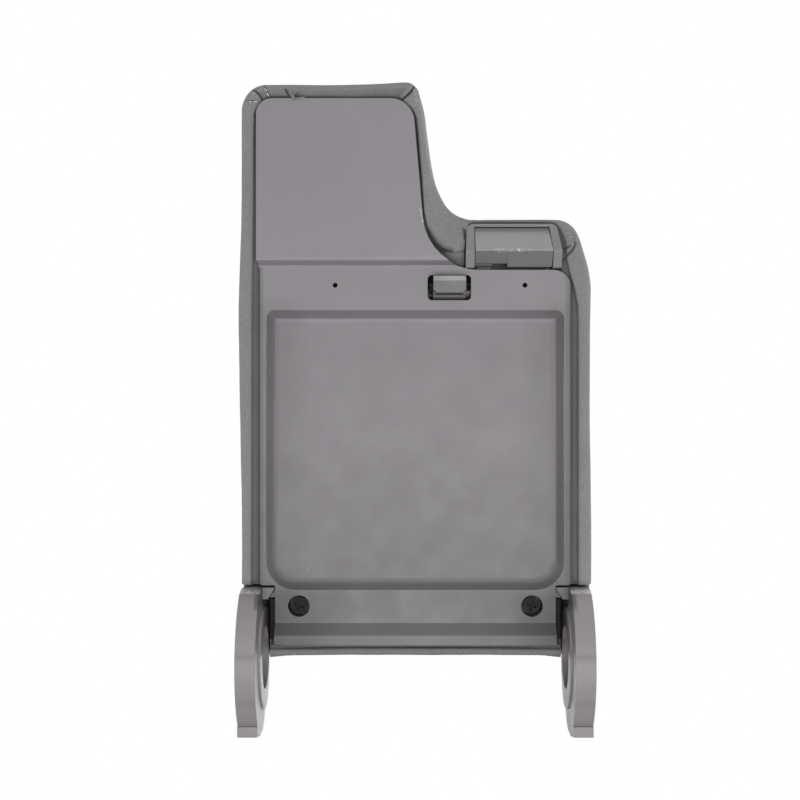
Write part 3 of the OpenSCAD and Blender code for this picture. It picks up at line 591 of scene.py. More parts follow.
# %% The two lines of the cover
HALF_W, FRONT_Y, NOTCH_Y, BACK_Y = 103, -333, -255.4, 1
LID = [(-HALF_W, FRONT_Y, 16), (1.8, FRONT_Y - 1.7, 6), (14.1, NOTCH_Y, 28), (95, NOTCH_Y, 15),
       (HALF_W, -215.4, 40), (HALF_W, BACK_Y, 14), (-HALF_W, BACK_Y, 14)]
PANEL_X, PANEL_FRONT, PANEL_NOTCH, PANEL_REAR = 89.5, -321.2, -223.8, -8.2
PANEL = [(-PANEL_X - 1.5, PANEL_FRONT, 9), (-1.7, PANEL_FRONT, 13.8), (6.8, PANEL_NOTCH, 32),
         (PANEL_X, PANEL_NOTCH, 10), (PANEL_X, PANEL_REAR, 2), (-PANEL_X, PANEL_REAR, 2), (-PANEL_X, -226, 3)]
FRAME_LEFT, FRAME_RIGHT, FRAME_FRONT = 28.8, 83.8, -250.2
CLOTH_GAP = 0.45
BESIDE_NOTCH_Y = -230

# points in each corner and on each edge: more of them where the cloth folds
ARC_STEPS = [80, 50, 70, 70, 30, 16, 16]
EDGE_STEPS = [200, 110, 70, 50, 150, 260, 200]
lid_line = fine_outline(LID, 0, ARC_STEPS, EDGE_STEPS)
lid_walk = Walk(lid_line)
lid_far = lid_walk.far[:-1]

panel_line = fine_outline(PANEL, -CLOTH_GAP, [24] * 7, [120] * 7)
beside_notch = panel_line[:, 1] > BESIDE_NOTCH_Y
past_fillet = int(np.argmax((panel_line[:, 0] > FRAME_LEFT - CLOTH_GAP) & beside_notch))
past_frame = int(np.argmax((panel_line[:, 0] > FRAME_RIGHT + CLOTH_GAP) & beside_notch))
frame_corners = [
    (FRAME_LEFT, PANEL_NOTCH, 0.4), (FRAME_LEFT, CREASE_Y, 20), (FRAME_LEFT + 0.8, FRAME_FRONT, 4),
    (FRAME_RIGHT - 2.6, FRAME_FRONT, 4), (FRAME_RIGHT, CREASE_Y, 20), (FRAME_RIGHT, PANEL_NOTCH, 0.4)]
round_frame = Walk(fine_outline(frame_corners, -CLOTH_GAP, [3, 8, 16, 16, 8, 3], [60] * 6))
frame_start = round_frame.near((FRAME_LEFT - CLOTH_GAP, PANEL_NOTCH - 1.6))
frame_end = round_frame.near((FRAME_RIGHT + CLOTH_GAP, PANEL_NOTCH - 1))
frame_far = (frame_end - frame_start) % round_frame.length
frame_path = round_frame.at(frame_start + np.linspace(0, 1, 200) * frame_far)
dive_line = np.vstack([panel_line[:past_fillet], frame_path, panel_line[past_frame:]])
dive_walk = Walk(dive_line)
print("points round the lid:", len(lid_line), " length in mm:", round(lid_walk.length))

# %% [markdown]
# The cloth's section changes on its way round. It is a full roll on the long sides, narrower
# beside the nose, a wide stretched saddle in the inner corner, and almost nothing in front of the
# release frame. The first table pairs points of the two lines and says what the section is there.
# The second says how far the soft side stands out of the straight outline.

# %% Section of the cloth at places round the lid
# outer point, inner point, tuck of the foot, crest from the outside, crest height, turn, hem
STATIONS = [
    ((-100.5, -326), (-88.5, -318.6), 2.2, 6.5, 6.4, 12.6, 2),
    ((-87, -333), (-82, -321.5), 1.6, 6.4, 6.4, 10.4, 3),
    ((-50, -333.5), (-50, -321.5), 1.7, 6.6, 6.4, 10.3, 3),
    ((-9, -334.5), (-15.5, -321.5), 1.0, 6.8, 6.6, 12.2, 3),
    ((1.6, -332), (-7.3, -318.5), 1.4, 7.0, 6.4, 14.2, 2),
    ((4.4, -319), (-3.6, -314.3), 1.5, 4.6, 6.2, 7.8, 2),
    ((5.7, -310), (-0.6, -308.8), 1.5, 3.3, 6.0, 5.0, 2),
    ((7.8, -297), (0.5, -296.3), 1.5, 3.8, 6.0, 5.9, 2),
    ((9.9, -284), (1.6, -283.2), 1.5, 4.4, 6.0, 6.9, 2),
    ((13.5, -269.8), (3.9, -259.5), 1.6, 7.5, 6.1, 12.8, 2),
    ((17, -265), (6.8, -247.5), 1.8, 11.0, 6.2, 18.6, 1),
    ((21.3, -261), (13, -236.5), 2.3, 15.0, 6.3, 23.6, 1),
    ((26, -257.8), (24, -228.5), 2.5, 17.0, 6.2, 27.8, 1),
    ((30, -256.4), (28.45, -238), 2.0, 11.0, 6.0, 17.2, 0.1),
    ((36, -255.4), (35, -250.55), 2.1, 2.7, 4.6, 4.0, 0.1),
    ((79, -255.4), (78, -250.55), 2.1, 2.7, 4.6, 4.0, 0.1),
    ((90, -253.5), (83.4, -244), 2.5, 6.0, 7.2, 9.6, 0.1),
    ((97, -244), (84.15, -231), 2.5, 8.5, 7.2, 15.0, 0.1),
    ((101.5, -226), (87, -219.5), 2.4, 7.2, 6.6, 12.5, 1),
    ((103, -200), (89.85, -205), 2.2, 7.0, 6.5, 10.2, 3),
    ((103, -13), (89.85, -18), 2.2, 6.8, 6.4, 10.1, 3),
    ((89, 1), (84, -7.85), 2.2, 4.8, 4.4, 7.0, 3),
    ((-89, 1), (-84, -7.85), 2.2, 4.8, 4.4, 7.0, 3),
    ((-103, -13), (-89.85, -18), 2.2, 6.2, 6.4, 9.0, 3),
    ((-103, -200), (-89.85, -200), 2.2, 6.2, 6.5, 9.0, 3),
    ((-103, -245), (-91.35, -245), 2.2, 6.2, 6.4, 9.5, 3),
    ((-103, -312), (-91.35, -310), 2.3, 6.2, 6.4, 10.0, 3)]

# outer point, how far the cloth stands out there
STANDS_OUT = [
    ((-100.5, -326), 0.0), ((-87, -333), 0.1), ((-75, -333), 0.0), ((-56, -333.5), -0.4),
    ((-35, -334), -0.7), ((-14, -334.4), -0.8), ((-6, -334.6), -0.2), ((1.6, -333.5), -0.8),
    ((2.9, -327.5), 0.3), ((4.4, -319), 1.3), ((6.2, -307), 0.8), ((9, -289.4), 0.35),
    ((10.2, -281), 0.7), ((11.6, -274.4), 1.4), ((14.5, -268), 1.1), ((21.3, -261), -0.7),
    ((29, -256.8), -0.8), ((37, -255.4), -0.1), ((60, -255.4), 0.0), ((79, -255.4), 0.2),
    ((92, -251), 0.1), ((96.5, -246), -0.3), ((98.2, -239.5), 0.4), ((100.6, -227.5), 1.6),
    ((102.6, -213), 1.0), ((103, -192), 0.3), ((103, -136), 0.1), ((103, -92), 0.9),
    ((103, -45), 1.0), ((84, 1), 1.4), ((77, 1), 0.0), ((-77, 1), 0.0), ((-84, 1), 1.4),
    ((-103, -45), -0.5), ((-103, -78), -0.3), ((-103, -121), 0.45), ((-103, -164), 1.2),
    ((-103, -198), 1.75), ((-103, -228), 1.15), ((-103, -245), 0.2), ((-103, -262), 0.1),
    ((-103, -300), -0.25), ((-103, -315), -0.1)]


def round_marks(walk, points):
    """Distances of points along a closed line, rising from the first one."""
    marks = np.array([walk.near(p) for p in points])
    marks = np.mod(marks - marks[0], walk.length) + marks[0]
    return np.concatenate([marks - walk.length, marks, marks + walk.length])


CARRY_REACH = 9


def smoothed(values, reach):
    """The mean of each value and its neighbours on a closed line."""
    padded = np.concatenate([values[-reach:], values, values[:reach]])
    return np.convolve(padded, np.ones(2 * reach + 1) / (2 * reach + 1), "valid")


def carried(table, column):
    """A number of a table, carried smoothly round the lid."""
    marks = round_marks(lid_walk, [row[0] for row in table])
    plain = np.interp(lid_far, marks, np.tile([row[column] for row in table], 3))
    return smoothed(plain, CARRY_REACH)


outer_marks = round_marks(lid_walk, [s[0] for s in STATIONS])
inner_marks = round_marks(dive_walk, [s[1] for s in STATIONS])
dive = dive_walk.at(np.interp(lid_far, outer_marks, inner_marks))
foot, crest_w, crest_z, turn_w, hem_w = (carried(STATIONS, c) for c in (2, 3, 4, 5, 6))
stands_out = carried(STANDS_OUT, 1)
band = np.linalg.norm(dive - lid_line, axis=1)
inward = (dive - lid_line) / band[:, None]
ahead = np.roll(lid_line, -1, 0) - np.roll(lid_line, 1, 0)
outward = np.stack([ahead[:, 1], -ahead[:, 0]], 1) / np.linalg.norm(ahead, axis=1)[:, None]
print("cloth band from", round(band.min(), 1), "to", round(band.max(), 1), "mm wide")

# %% [markdown]
# Now the rings. Each is one closed loop round the lid. The underside rings follow a section
# through a few control points, drawn as a smooth curve. Side and crown rings are inset outlines.
# The same number of points on each ring makes the skin a simple grid.


# %% Rings of the cover
def smooth_curve(controls, steps):
    """Catmull-Rom through control points of shape (points, samples, values), steps per span."""
    c = np.concatenate([2 * controls[:1] - controls[1:2], controls, 2 * controls[-1:] - controls[-2:-1]])
    rings = []
    for i in range(len(controls) - 1):
        p0, p1, p2, p3 = c[i], c[i + 1], c[i + 2], c[i + 3]
        for k in range(steps[i]):
            t = k / steps[i]
            rings.append(0.5 * (2 * p1 + (p2 - p0) * t + (2 * p0 - 5 * p1 + 4 * p2 - p3) * t * t
                                + (3 * p1 - p0 - 3 * p2 + p3) * t ** 3))
    return rings + [controls[-1]]


VALLEY_LEAST, ROLL_LEAST = 0.9, 0.7
turn_w = np.minimum(turn_w, band - VALLEY_LEAST)
crest_w = np.minimum(crest_w, turn_w - ROLL_LEAST)
valley = band - turn_w
ones = np.ones(len(band))
# inset from the outline, height, and the share of the side's bulge
section = np.stack([np.stack(values, 1) for values in [
    (0.0 * ones, 19.0 * ones, ones),
    (0.35 * foot, 12.0 * ones, ones),
    (0.68 * foot, 5.5 * ones, ones),
    (foot, 0.6 * ones, ones),
    (foot + 0.25 * (crest_w - foot), -0.60 * crest_z, 0.6 * ones),
    (foot + 0.60 * (crest_w - foot), -0.93 * crest_z, 0.25 * ones),
    (crest_w, -crest_z, 0.0 * ones),
    (0.5 * crest_w + 0.5 * turn_w, -crest_z + 0.1, 0.0 * ones),
    (turn_w - 0.45, -crest_z + 0.7, 0.0 * ones),
    (turn_w, -crest_z + 1.9, 0.0 * ones),
    (turn_w + 0.12 * valley, -crest_z + 3.9, 0.0 * ones),
    (turn_w + 0.45 * valley, -1.3 * ones, 0.0 * ones),
    (band - 0.05, -0.9 * ones, 0.0 * ones)]])
under = smooth_curve(section, [2, 2, 3, 4, 5, 4, 4, 4, 3, 3, 4, 3])

# inset and height of the crown, from the flat top down to the side
CROWN = np.array([(31, 48), (19, 46.9), (9.5, 43.6), (3.2, 37), (0.6, 28), (0.0, 19)], float)
# inset and height of the skin's inner side, from the hem up to the carrier's top
INNER = [(2.7, 2.4), (1.9, 10), (2.0, 28), (9.9, 42), (31, 46)]
HEM_Z, HEM_TOP_Z, HEM_BACK = -0.9, -0.2, 5.4
STRAIGHT_Z, STRAIGHT_OVER = 46, 14

crown = smooth_curve(CROWN[:, None, :], [2, 3, 4, 4, 3])[:-1]
rings, insets = [], []
for inset, z in (place[0] for place in crown):
    flat = fine_outline(LID, inset, ARC_STEPS, EDGE_STEPS)
    share = min(max((STRAIGHT_Z - z) / STRAIGHT_OVER, 0), 1)
    rings.append(np.column_stack([flat + outward * (stands_out * share)[:, None], np.full(len(flat), z)]))
crown_count = len(rings)
for ring in under:
    flat = lid_line + inward * ring[:, :1] + outward * (stands_out * ring[:, 2])[:, None]
    rings.append(np.column_stack([flat, ring[:, 1]]))
    insets.append(ring[:, 0])
under_count = len(rings)
hem_edge = lid_line + inward * (band + hem_w)[:, None]
hem_back = lid_line + inward * np.minimum(HEM_BACK, band - 0.4)[:, None]
for flat, z in ((hem_edge, HEM_Z), (hem_edge, HEM_TOP_Z), (hem_back, HEM_TOP_Z)):
    rings.append(np.column_stack([flat, z * ones]))
for inset, z in INNER:
    flat = fine_outline(LID, inset, ARC_STEPS, EDGE_STEPS) + outward * np.minimum(stands_out, 0)[:, None]
    rings.append(np.column_stack([flat, np.full(len(flat), z)]))
print("rings:", len(rings), " of them crown:", crown_count, "and underside:", under_count - crown_count)

# %% [markdown]
# The middle of the padded top is closed by rings that shrink towards a bent spine down the lid.
# Drawing each point straight to its nearest point of the spine never crosses two threads. The
# narrow flat loop that is left in the middle is filled with triangles. Where the spine bends, the
# nearest point jumps, so it is averaged along the ring.

# %% Close the padded top over a spine
SPINE = Walk(np.array([(-51, -286), (-51, -170), (-30, -132), (0, -118), (44, -118)], float), closed=False)
SPINE_LENGTH = SPINE.length * 0.9999
SPINE_REACH = 70
TOP_RISE, INNER_RISE = 1.6, 1.2
spine_points = SPINE.at(np.linspace(0, SPINE_LENGTH, 400))


def closing_rings(ring, rise, shares):
    flat = ring[:, :2]
    away = np.linalg.norm(flat[:, None] - spine_points[None], axis=2)
    nearest = smoothed(np.argmin(away, axis=1).astype(float), SPINE_REACH)
    foot = SPINE.at(SPINE_LENGTH * nearest / (len(spine_points) - 1))
    made = []
    for share in shares:
        place = flat + (foot - flat) * share
        z = ring[:, 2] + rise * math.sin(share * math.pi / 2)
        made.append(np.column_stack([place, z]))
    return made


top = closing_rings(rings[0], TOP_RISE, [0.2, 0.4, 0.6, 0.8])
bottom = closing_rings(rings[-1], INNER_RISE, [0.5])
rings = top[::-1] + rings + bottom
first_crown, first_under = len(top), len(top) + crown_count
last_under = len(top) + under_count
skin = np.array(rings)
print("skin grid:", skin.shape[:2])

# %% [markdown]
# ## Folds, seams and puckers
# Tight cloth isn't smooth. It waves a little along its edge, it is folded over and sewn at the
# corners, and it bunches where the maker had too much of it. Each fold is a line on the
# underside, read from the picture in mm, that sinks or steps the cloth near it.


# %% Waves in the cloth
# size in mm, seed, height in mm
WAVES = [(26, 3.1, 0.55), (9, 8.7, 0.22), (3.2, 5.5, 0.07)]
ROLL_FROM_Z, ROLL_OVER = -1.8, 2.0
WAVE_DOWN, WAVE_OUT = 0.8, 0.35


def wave(points, size, seed):
    return np.array([noise.noise(Vector((p[0] / size + seed, p[1] / size, p[2] / size))) for p in points])


underside = skin[first_crown:last_under].reshape(-1, 3)
wander = sum(wave(underside, size, seed) * height for size, seed, height in WAVES)
outwards = -np.tile(inward, (last_under - first_crown, 1))
on_roll = np.clip((ROLL_FROM_Z - underside[:, 2]) / ROLL_OVER, 0, 1)
underside[:, 2] -= wander * WAVE_DOWN * on_roll
underside[:, :2] += outwards * (wander * WAVE_OUT * (1 - on_roll))[:, None]
skin[first_crown:last_under] = underside.reshape(skin[first_crown:last_under].shape)
print("largest wave in mm:", round(float(np.abs(wander).max()), 2))

# %% [markdown]
# A fold is a soft trench that fades out at both ends, with one side raised where the cloth lies
# double. The deeper it is, the less light gets in, so the same line also darkens the cloth. Beside
# the panel, where the cloth dives into the gap, it is darkest.


# %% Folds along lines
def line_distance(points, path):
    """Distance to a path in the plane, which side a point is on, and how far along it is."""
    best, side, along = np.full(len(points), 1e9), np.zeros(len(points)), np.zeros(len(points))
    path = np.array(path, float)
    lengths = np.linalg.norm(np.diff(path, axis=0), axis=1)
    walked = 0.0
    for a, b, length in zip(path[:-1], path[1:], lengths):
        d = (b - a) / length
        q = points[:, :2] - a
        t = np.clip(q @ d, 0, length)
        gap = q - t[:, None] * d
        distance = np.linalg.norm(gap, axis=1)
        closer = distance < best
        best = np.where(closer, distance, best)
        side = np.where(closer, np.sign(d[0] * gap[:, 1] - d[1] * gap[:, 0]), side)
        along = np.where(closer, (walked + t) / lengths.sum(), along)
        walked += length
    return best, side, along


UNDERSIDE_Z = 6
DEEP = 1.5


def fold(points, path, depth, width, step, reach, fade):
    """Sinks the cloth by depth along the path, raises one side by step, and says how much painted shade it
    gets.
    """
    low = points[:, 2] < UNDERSIDE_Z
    distance, side, along = line_distance(points[low], path)
    ends = np.clip(along / fade, 0, 1) * np.clip((1 - along) / fade, 0, 1)
    ends = ends * ends * (3 - 2 * ends)
    sink = depth * np.exp(-(distance / width) ** 2)
    rise = step * np.where(side > 0, np.exp(-(distance / reach) ** 2), 0)
    points[low, 2] += (sink - rise) * ends
    dark = np.zeros(len(points))
    darkest = 0.8 * min(depth / DEEP, 1.12) ** 1.5
    dark_width = 0.32 + 0.32 * width
    dark[low] = darkest * np.exp(-(distance / dark_width) ** 2) * np.sqrt(ends)
    return dark


def px(x, y, height=0.0):
    """A pixel of the picture as a place on the lid, in mm, at a height above the panel's face."""
    near = 1 - height / CAMERA_DISTANCE
    return ((x - AXIS_PX[0]) * MM_PER_PX * near, (y - AXIS_PX[1]) * MM_PER_PX * near + AXIS_Y)


# points in the picture, depth, width, step and its reach in mm, share of the line that fades
FOLDS = [
    # the fold of the upper left corner, and the stitched flap beside it
    ([(251, 87.5), (254.5, 90.5), (259.6, 94.6), (263, 101), (262, 106)], 1.7, 0.6, 1.0, 3.5, 0.12),
    ([(245.5, 100.4), (251, 100.1), (257, 100.6), (259.6, 104.6)], 0.8, 0.55, 0.4, 2.5, 0.1),
    ([(262.5, 83.5), (266.6, 90.5), (269.6, 96), (271.6, 99)], 1.0, 0.5, 0.4, 2.5, 0.05),
    ([(260.6, 91.6), (263.9, 98.1)], 0.8, 0.5, 0.0, 2.5, 0.18),
    # the puckers a little to its right
    ([(284.6, 87), (286.5, 91.5), (289.6, 97)], 1.6, 0.7, 0.5, 2.5, 0.3),
    ([(300.5, 90.4), (297.5, 93), (295, 95.6), (302, 96)], 1.3, 0.6, 0.4, 2.5, 0.3),
    # the curved seam of the upper right corner
    ([(414, 82.5), (413.3, 86.5), (411.6, 90.4), (407.5, 94.6), (400, 100.4)], 1.9, 0.6, 1.3, 4.0, 0.06),
    ([(383, 88), (384.5, 94), (383, 100)], 0.4, 0.7, 0.0, 2.0, 0.3),
    # the end of the crease of the stretched cloth in the inner corner, and the gap at the frame
    ([(426, 227), (430, 235), (435.5, 242.5), (443.5, 248.5), (454, 251)], 2.8, 1.8, 0.0, 4.0, 0.08),
    ([(462.6, 226.6), (464.6, 230.4), (465.4, 240)], 1.8, 0.8, 0.0, 2.0, 0.2),
    # the seam beside the release frame, and the pleats that fan out from its corner
    ([(574.6, 240), (575, 245), (571.7, 250.7), (567.5, 254.8), (561.6, 260)], 1.5, 0.6, 0.8, 4.0, 0.06),
    ([(560, 245.5), (563, 247.4), (567.5, 247.2), (571, 245)], 1.5, 0.6, 0.5, 2.0, 0.3),
    ([(559, 240.5), (564, 241.8), (570, 240.6)], 0.5, 0.6, 0.3, 1.6, 0.3),
    ([(558.5, 237), (564, 237.6), (570, 235.6)], 0.5, 0.6, 0.3, 1.6, 0.3),
    ([(557.5, 232), (563, 232.2), (569, 229.6)], 0.45, 0.6, 0.3, 1.6, 0.3)]

DIVE_DARK, DIVE_WIDTH, VALLEY_DARK, REAR_DARK, HIDDEN_DARK = 0.97, 1.1, 0.58, 0.20, 0.9
NOSE_BEHIND_Y, FRONT_CREST = -300, 6.2
FRAME_CLOTH_X, FRAME_CLOTH_Y = 27, -247.5
REAR_BAND_Y, REAR_BAND_X = -4, 92

crease = np.zeros(skin.shape[:2])
soft_part = skin[first_crown:last_under]
for picture_points, *fold_values in FOLDS:
    flat_skin = soft_part.reshape(-1, 3)
    dark = fold(flat_skin, [px(*point) for point in picture_points], *fold_values)
    crease[first_crown:last_under] = np.maximum(
        crease[first_crown:last_under], dark.reshape(soft_part.shape[:2]))
    skin[first_crown:last_under] = flat_skin.reshape(soft_part.shape)
# painted shade in the cloth's colour: strongest where it dives into the gap beside the panel, then in the
# valley, on the nose roll past its crest, along the rear band, and over the hidden inner side
nose_front = np.clip((-outward[:, 1] - 0.9) / 0.08, 0, 1) * (lid_line[:, 1] < NOSE_BEHIND_Y)
beside_frame = np.clip((FRAME_CLOTH_Y - dive[:, 1]) / 1.5, 0, 1) * (dive[:, 0] > FRAME_CLOTH_X)
rear_band = (lid_line[:, 1] > REAR_BAND_Y) * (np.abs(lid_line[:, 0]) < REAR_BAND_X)
for number, inset in enumerate(insets):
    into_valley = np.clip((inset - turn_w + 0.3) / (0.6 * valley), 0, 1)
    dive_shade = DIVE_DARK * np.exp(-((band - inset) / DIVE_WIDTH) ** 2)
    beside_panel = np.maximum(dive_shade, VALLEY_DARK * into_valley)
    past_crest = np.clip((inset - FRONT_CREST) / 0.8, 0, 1)
    easing = nose_front * past_crest * (0.12 + 0.26 * np.clip((inset - FRONT_CREST - 0.3) / 4.5, 0, 1))
    row = first_under + number
    crease[row] = np.maximum(crease[row], np.maximum(beside_panel, easing)) * (1 - 0.8 * beside_frame)
    crease[row] = np.maximum(crease[row], REAR_DARK * rear_band)
crease[last_under:] = HIDDEN_DARK
print("folds:", len(FOLDS))

# %% [markdown]
# Along each side runs a faint pressed line, where the cloth leaves the lid's side and begins to
# roll. Behind the panel the cloth is gathered in short ripples near the ears.

# %% Pressed line and gathers
GATHER_FROM, GATHER_GROWS, GATHER_LEAST, GATHER_DEPTH = 52, 20, 0.12, 0.35
PRESS_DEPTH, PRESS_AT, PRESS_WIDTH = 0.35, 0.40, 0.025
SIDE_X, SIDE_FROM_Y = 90, -310
REAR_X, REAR_Y = 86, -9

for ring_number in range(first_under, last_under):
    ring = skin[ring_number]
    share = (ring_number - first_under) / (last_under - first_under)
    pressed = PRESS_DEPTH * math.exp(-((share - PRESS_AT) / PRESS_WIDTH) ** 2)
    long_side = (np.abs(ring[:, 0]) > SIDE_X) & (ring[:, 1] > SIDE_FROM_Y)
    ring[long_side, 0] -= np.sign(ring[long_side, 0]) * pressed
    ring[long_side, 2] += pressed
    rear = (ring[:, 1] > REAR_Y) & (np.abs(ring[:, 0]) < REAR_X)
    gather = np.clip((np.abs(ring[:, 0]) - GATHER_FROM) / GATHER_GROWS, GATHER_LEAST, 1)
    ripple = np.sin(ring[:, 0] * 2.3 + 1.4 * np.sin(ring[:, 0] * 0.6)) * gather
    ring[rear, 2] -= GATHER_DEPTH * ripple[rear] * math.sin(math.pi * min(share * 1.2, 1))
print("gathers start", GATHER_FROM, "mm from the middle")

# %% [markdown]
# The grid becomes a mesh. Coordinates of the cloth, in metres along and across it, go into a UV
# map for the weave: round the lid on the sides, and straight across on top, where the real cover
# has a second panel of cloth.


# %% Cover mesh
def mesh_object(name, vertices, faces, finish):
    mesh = bpy.data.meshes.new(name)
    mesh.from_pydata([tuple(v) for v in vertices], [], faces)
    mesh.materials.append(finish.material)
    mesh.update()
    mesh.shade_smooth()
    piece = bpy.data.objects.new(name, mesh)
    bpy.context.scene.collection.objects.link(piece)
    return piece


ring_n, point_n = skin.shape[:2]


def corner(ring, point):
    return ring * point_n + point % point_n


quads = [(corner(i, j), corner(i, j + 1), corner(i + 1, j + 1), corner(i + 1, j))
         for i in range(ring_n - 1) for j in range(point_n)]
caps = []
for i in (0, ring_n - 1):
    loop = [Vector((x, y, 0)) for x, y in skin[i, :, :2]]
    caps += [tuple(i * point_n + j for j in triangle) for triangle in geometry.tessellate_polygon([loop])]
cover = mesh_object("cloth_cover", skin.reshape(-1, 3) * MM, quads + caps, cloth)
MEASURED_AT = 20
steps_across = np.linalg.norm(np.diff(skin[:, MEASURED_AT], axis=0), axis=1)
across = np.concatenate([[0], np.cumsum(steps_across)])
along = np.append(lid_far, lid_walk.length)
uv = cover.data.uv_layers.new(name="cloth")
values = np.zeros((len(quads) * 4, 2))
SEAM_RING = first_crown + 8
for number in range(len(quads)):
    i, j = divmod(number, point_n)
    for turn, (di, dj) in enumerate(((0, 0), (0, 1), (1, 1), (1, 0))):
        if i < SEAM_RING:
            values[number * 4 + turn] = skin[i + di, (j + dj) % point_n, :2]
        else:
            values[number * 4 + turn] = (along[j + dj], across[i + di])
flat_places = skin.reshape(-1, 3)[np.array(caps).ravel(), :2]
uv.data.foreach_set("uv", (np.vstack([values, flat_places]) * MM).ravel())
cover.data.attributes.new("crease", "FLOAT", "POINT").data.foreach_set("value", crease.ravel())
print("cover faces:", len(quads))

# %% [markdown]
# Points that fall together are merged. The cover is a closed skin now, and the two pockets for
# the ears can be cut from it as from a solid.

# %% Close and cut the cover
POCKET_X, POCKET_Y, POCKET_Z = (84, 140), (-42.6, 60), (-60, 25)
WALLS = [(0, 1, 3, 2), (4, 6, 7, 5), (0, 4, 5, 1), (2, 3, 7, 6), (0, 2, 6, 4), (1, 5, 7, 3)]
MERGE, TOO_SMALL = 0.00002, 0.00001
COVER_SHARP = 55


def tidied(mesh, clean):
    """Turns all faces outwards, after merging what falls together if clean is true."""
    shape = bmesh.new()
    shape.from_mesh(mesh)
    if clean:
        bmesh.ops.remove_doubles(shape, verts=shape.verts, dist=MERGE)
        bmesh.ops.dissolve_degenerate(shape, edges=shape.edges, dist=TOO_SMALL)
    bmesh.ops.recalc_face_normals(shape, faces=shape.faces)
    shape.to_mesh(mesh)
    shape.free()


tidied(cover.data, True)
for side in (-1, 1):
    corners = [(side * x, y, z) for z in POCKET_Z for y in POCKET_Y for x in POCKET_X]
    cutter = mesh_object("pocket", np.array(corners) * MM, WALLS, cloth)
    tidied(cutter.data, False)
    cut = cover.modifiers.new("pocket", "BOOLEAN")
    cut.operation = "DIFFERENCE"
    cut.solver = "EXACT"
    cut.object = cutter
    bpy.context.view_layer.objects.active = cover
    bpy.ops.object.modifier_apply(modifier="pocket")
    bpy.data.objects.remove(cutter)
cover.data.shade_smooth()
cover.data.set_sharp_from_angle(angle=math.radians(COVER_SHARP))
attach(cover, "lid")
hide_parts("cover")
print("cover triangles:", sum(len(p.vertices) - 2 for p in cover.data.polygons))

# %% [markdown]
# Thread shows where the cover is sewn at two corners. Each stitch is a short round thread laid on
# the finished cloth: points along it are dropped onto the cloth from below, and its ends dip in.
# A tongue of cloth that slipped out over the panel's front edge is a flattened thread of the
# same kind, as wide as it is in the picture.

# %% Stitches and the loose tongue
THREAD_R, THREAD_PROUD, THREAD_DIP = 0.32, 0.24, 0.45
STITCH_HEIGHT = 6
# start and end of each stitch in the picture
PALE_STITCHES = [
    ((247.6, 99.5), (250.1, 99.2)), ((252.6, 99.1), (256.8, 99.6)), ((263.6, 85.4), (265.4, 88.6)),
    ((265.9, 90.2), (267.7, 93.6)), ((268.6, 96.4), (270.4, 98.0))]
GREY_STITCHES = [
    ((414.7, 87.0), (413.4, 90.0)), ((416.0, 90.6), (413.9, 93.1)), ((417.6, 95.0), (412.8, 98.0)),
    ((418.4, 97.4), (413.6, 100.2)), ((411.2, 99.4), (414.2, 104.0)), ((416.8, 100.8), (414.6, 103.2)),
    ((251.6, 90.8), (255.0, 91.6))]
# each strip of the tongue: its points in the picture with their height in mm, and its half widths
TONGUE = [
    ([(288.0, 89.5, -6.4), (290.5, 93.0, -8.0), (292.6, 96.4, -12.0), (293.2, 98.4, -13.7),
      (294.0, 100.6, -13.5)], [0.4, 0.9, 1.1, 1.1, 0.5]),
    ([(293.0, 98.6, -13.6), (297.0, 98.9, -13.8), (301.0, 98.0, -13.6), (304.5, 97.0, -13.0)],
     [0.7, 0.7, 0.6, 0.3])]
cloth_tree = BVHTree.FromObject(cover, bpy.context.evaluated_depsgraph_get())


def cloth_height(x, y):
    """Height of the cloth, in mm, seen straight from below."""
    hit = cloth_tree.ray_cast(Vector((x * MM, y * MM, -0.1)), Vector((0, 0, 1)))[0]
    return hit.z / MM if hit else -6.0


def tube(path, radii, flatness=1.0, sides=8):
    """Points and faces of a tube along a path, with a radius at each point."""
    path = np.array(path, float)
    ahead = np.gradient(path, axis=0)
    points, faces = [], []
    for centre, way, radius in zip(path, ahead, radii):
        way = way / np.linalg.norm(way)
        across = np.cross(way, (0, 0, 1.0))
        across /= np.linalg.norm(across)
        up = np.cross(across, way)
        for k in range(sides):
            a = math.tau * k / sides
            points.append(centre + radius * (math.cos(a) * across + flatness * math.sin(a) * up))
    for i in range(len(path) - 1):
        for k in range(sides):
            j = (k + 1) % sides
            faces.append((i * sides + k, i * sides + j, (i + 1) * sides + j, (i + 1) * sides + k))
    faces.append(tuple(range(sides))[::-1])
    faces.append(tuple((len(path) - 1) * sides + k for k in range(sides)))
    return points, faces


def lay_stitches(name, stitches, finish):
    points, faces = [], []
    for start, end in stitches:
        (x0, y0), (x1, y1) = px(*start, STITCH_HEIGHT), px(*end, STITCH_HEIGHT)
        path, radii = [], []
        for t in np.linspace(0, 1, 9):
            x, y = x0 + (x1 - x0) * t, y0 + (y1 - y0) * t
            dip = THREAD_DIP * (abs(2 * t - 1) ** 4)
            path.append((x, y, cloth_height(x, y) - THREAD_PROUD + dip))
            radii.append(THREAD_R * (1 - 0.4 * abs(2 * t - 1) ** 3))
        new_points, new_faces = tube(path, radii)
        faces += [tuple(v + len(points) for v in face) for face in new_faces]
        points += new_points
    piece = mesh_object(name, np.array(points) * MM, faces, finish)
    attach(piece, "lid")
    return piece


def thread(name, colour):
    yarn = Finish(name)
    twist = yarn.ramp(yarn.cloud(1600, 2), 0.35, 0.65)
    base = yarn.mix(twist, shade(colour, 0.85), colour)
    return yarn.set(Base_Color=base, Roughness=0.7, Normal=yarn.bump(yarn.cloud(2600, 2), 0.3, 0.0002))


lay_stitches("pale_stitches", PALE_STITCHES, thread("pale thread", grey(238, 235, 230)))
lay_stitches("grey_stitches", GREY_STITCHES, thread("grey thread", grey(176, 176, 174)))

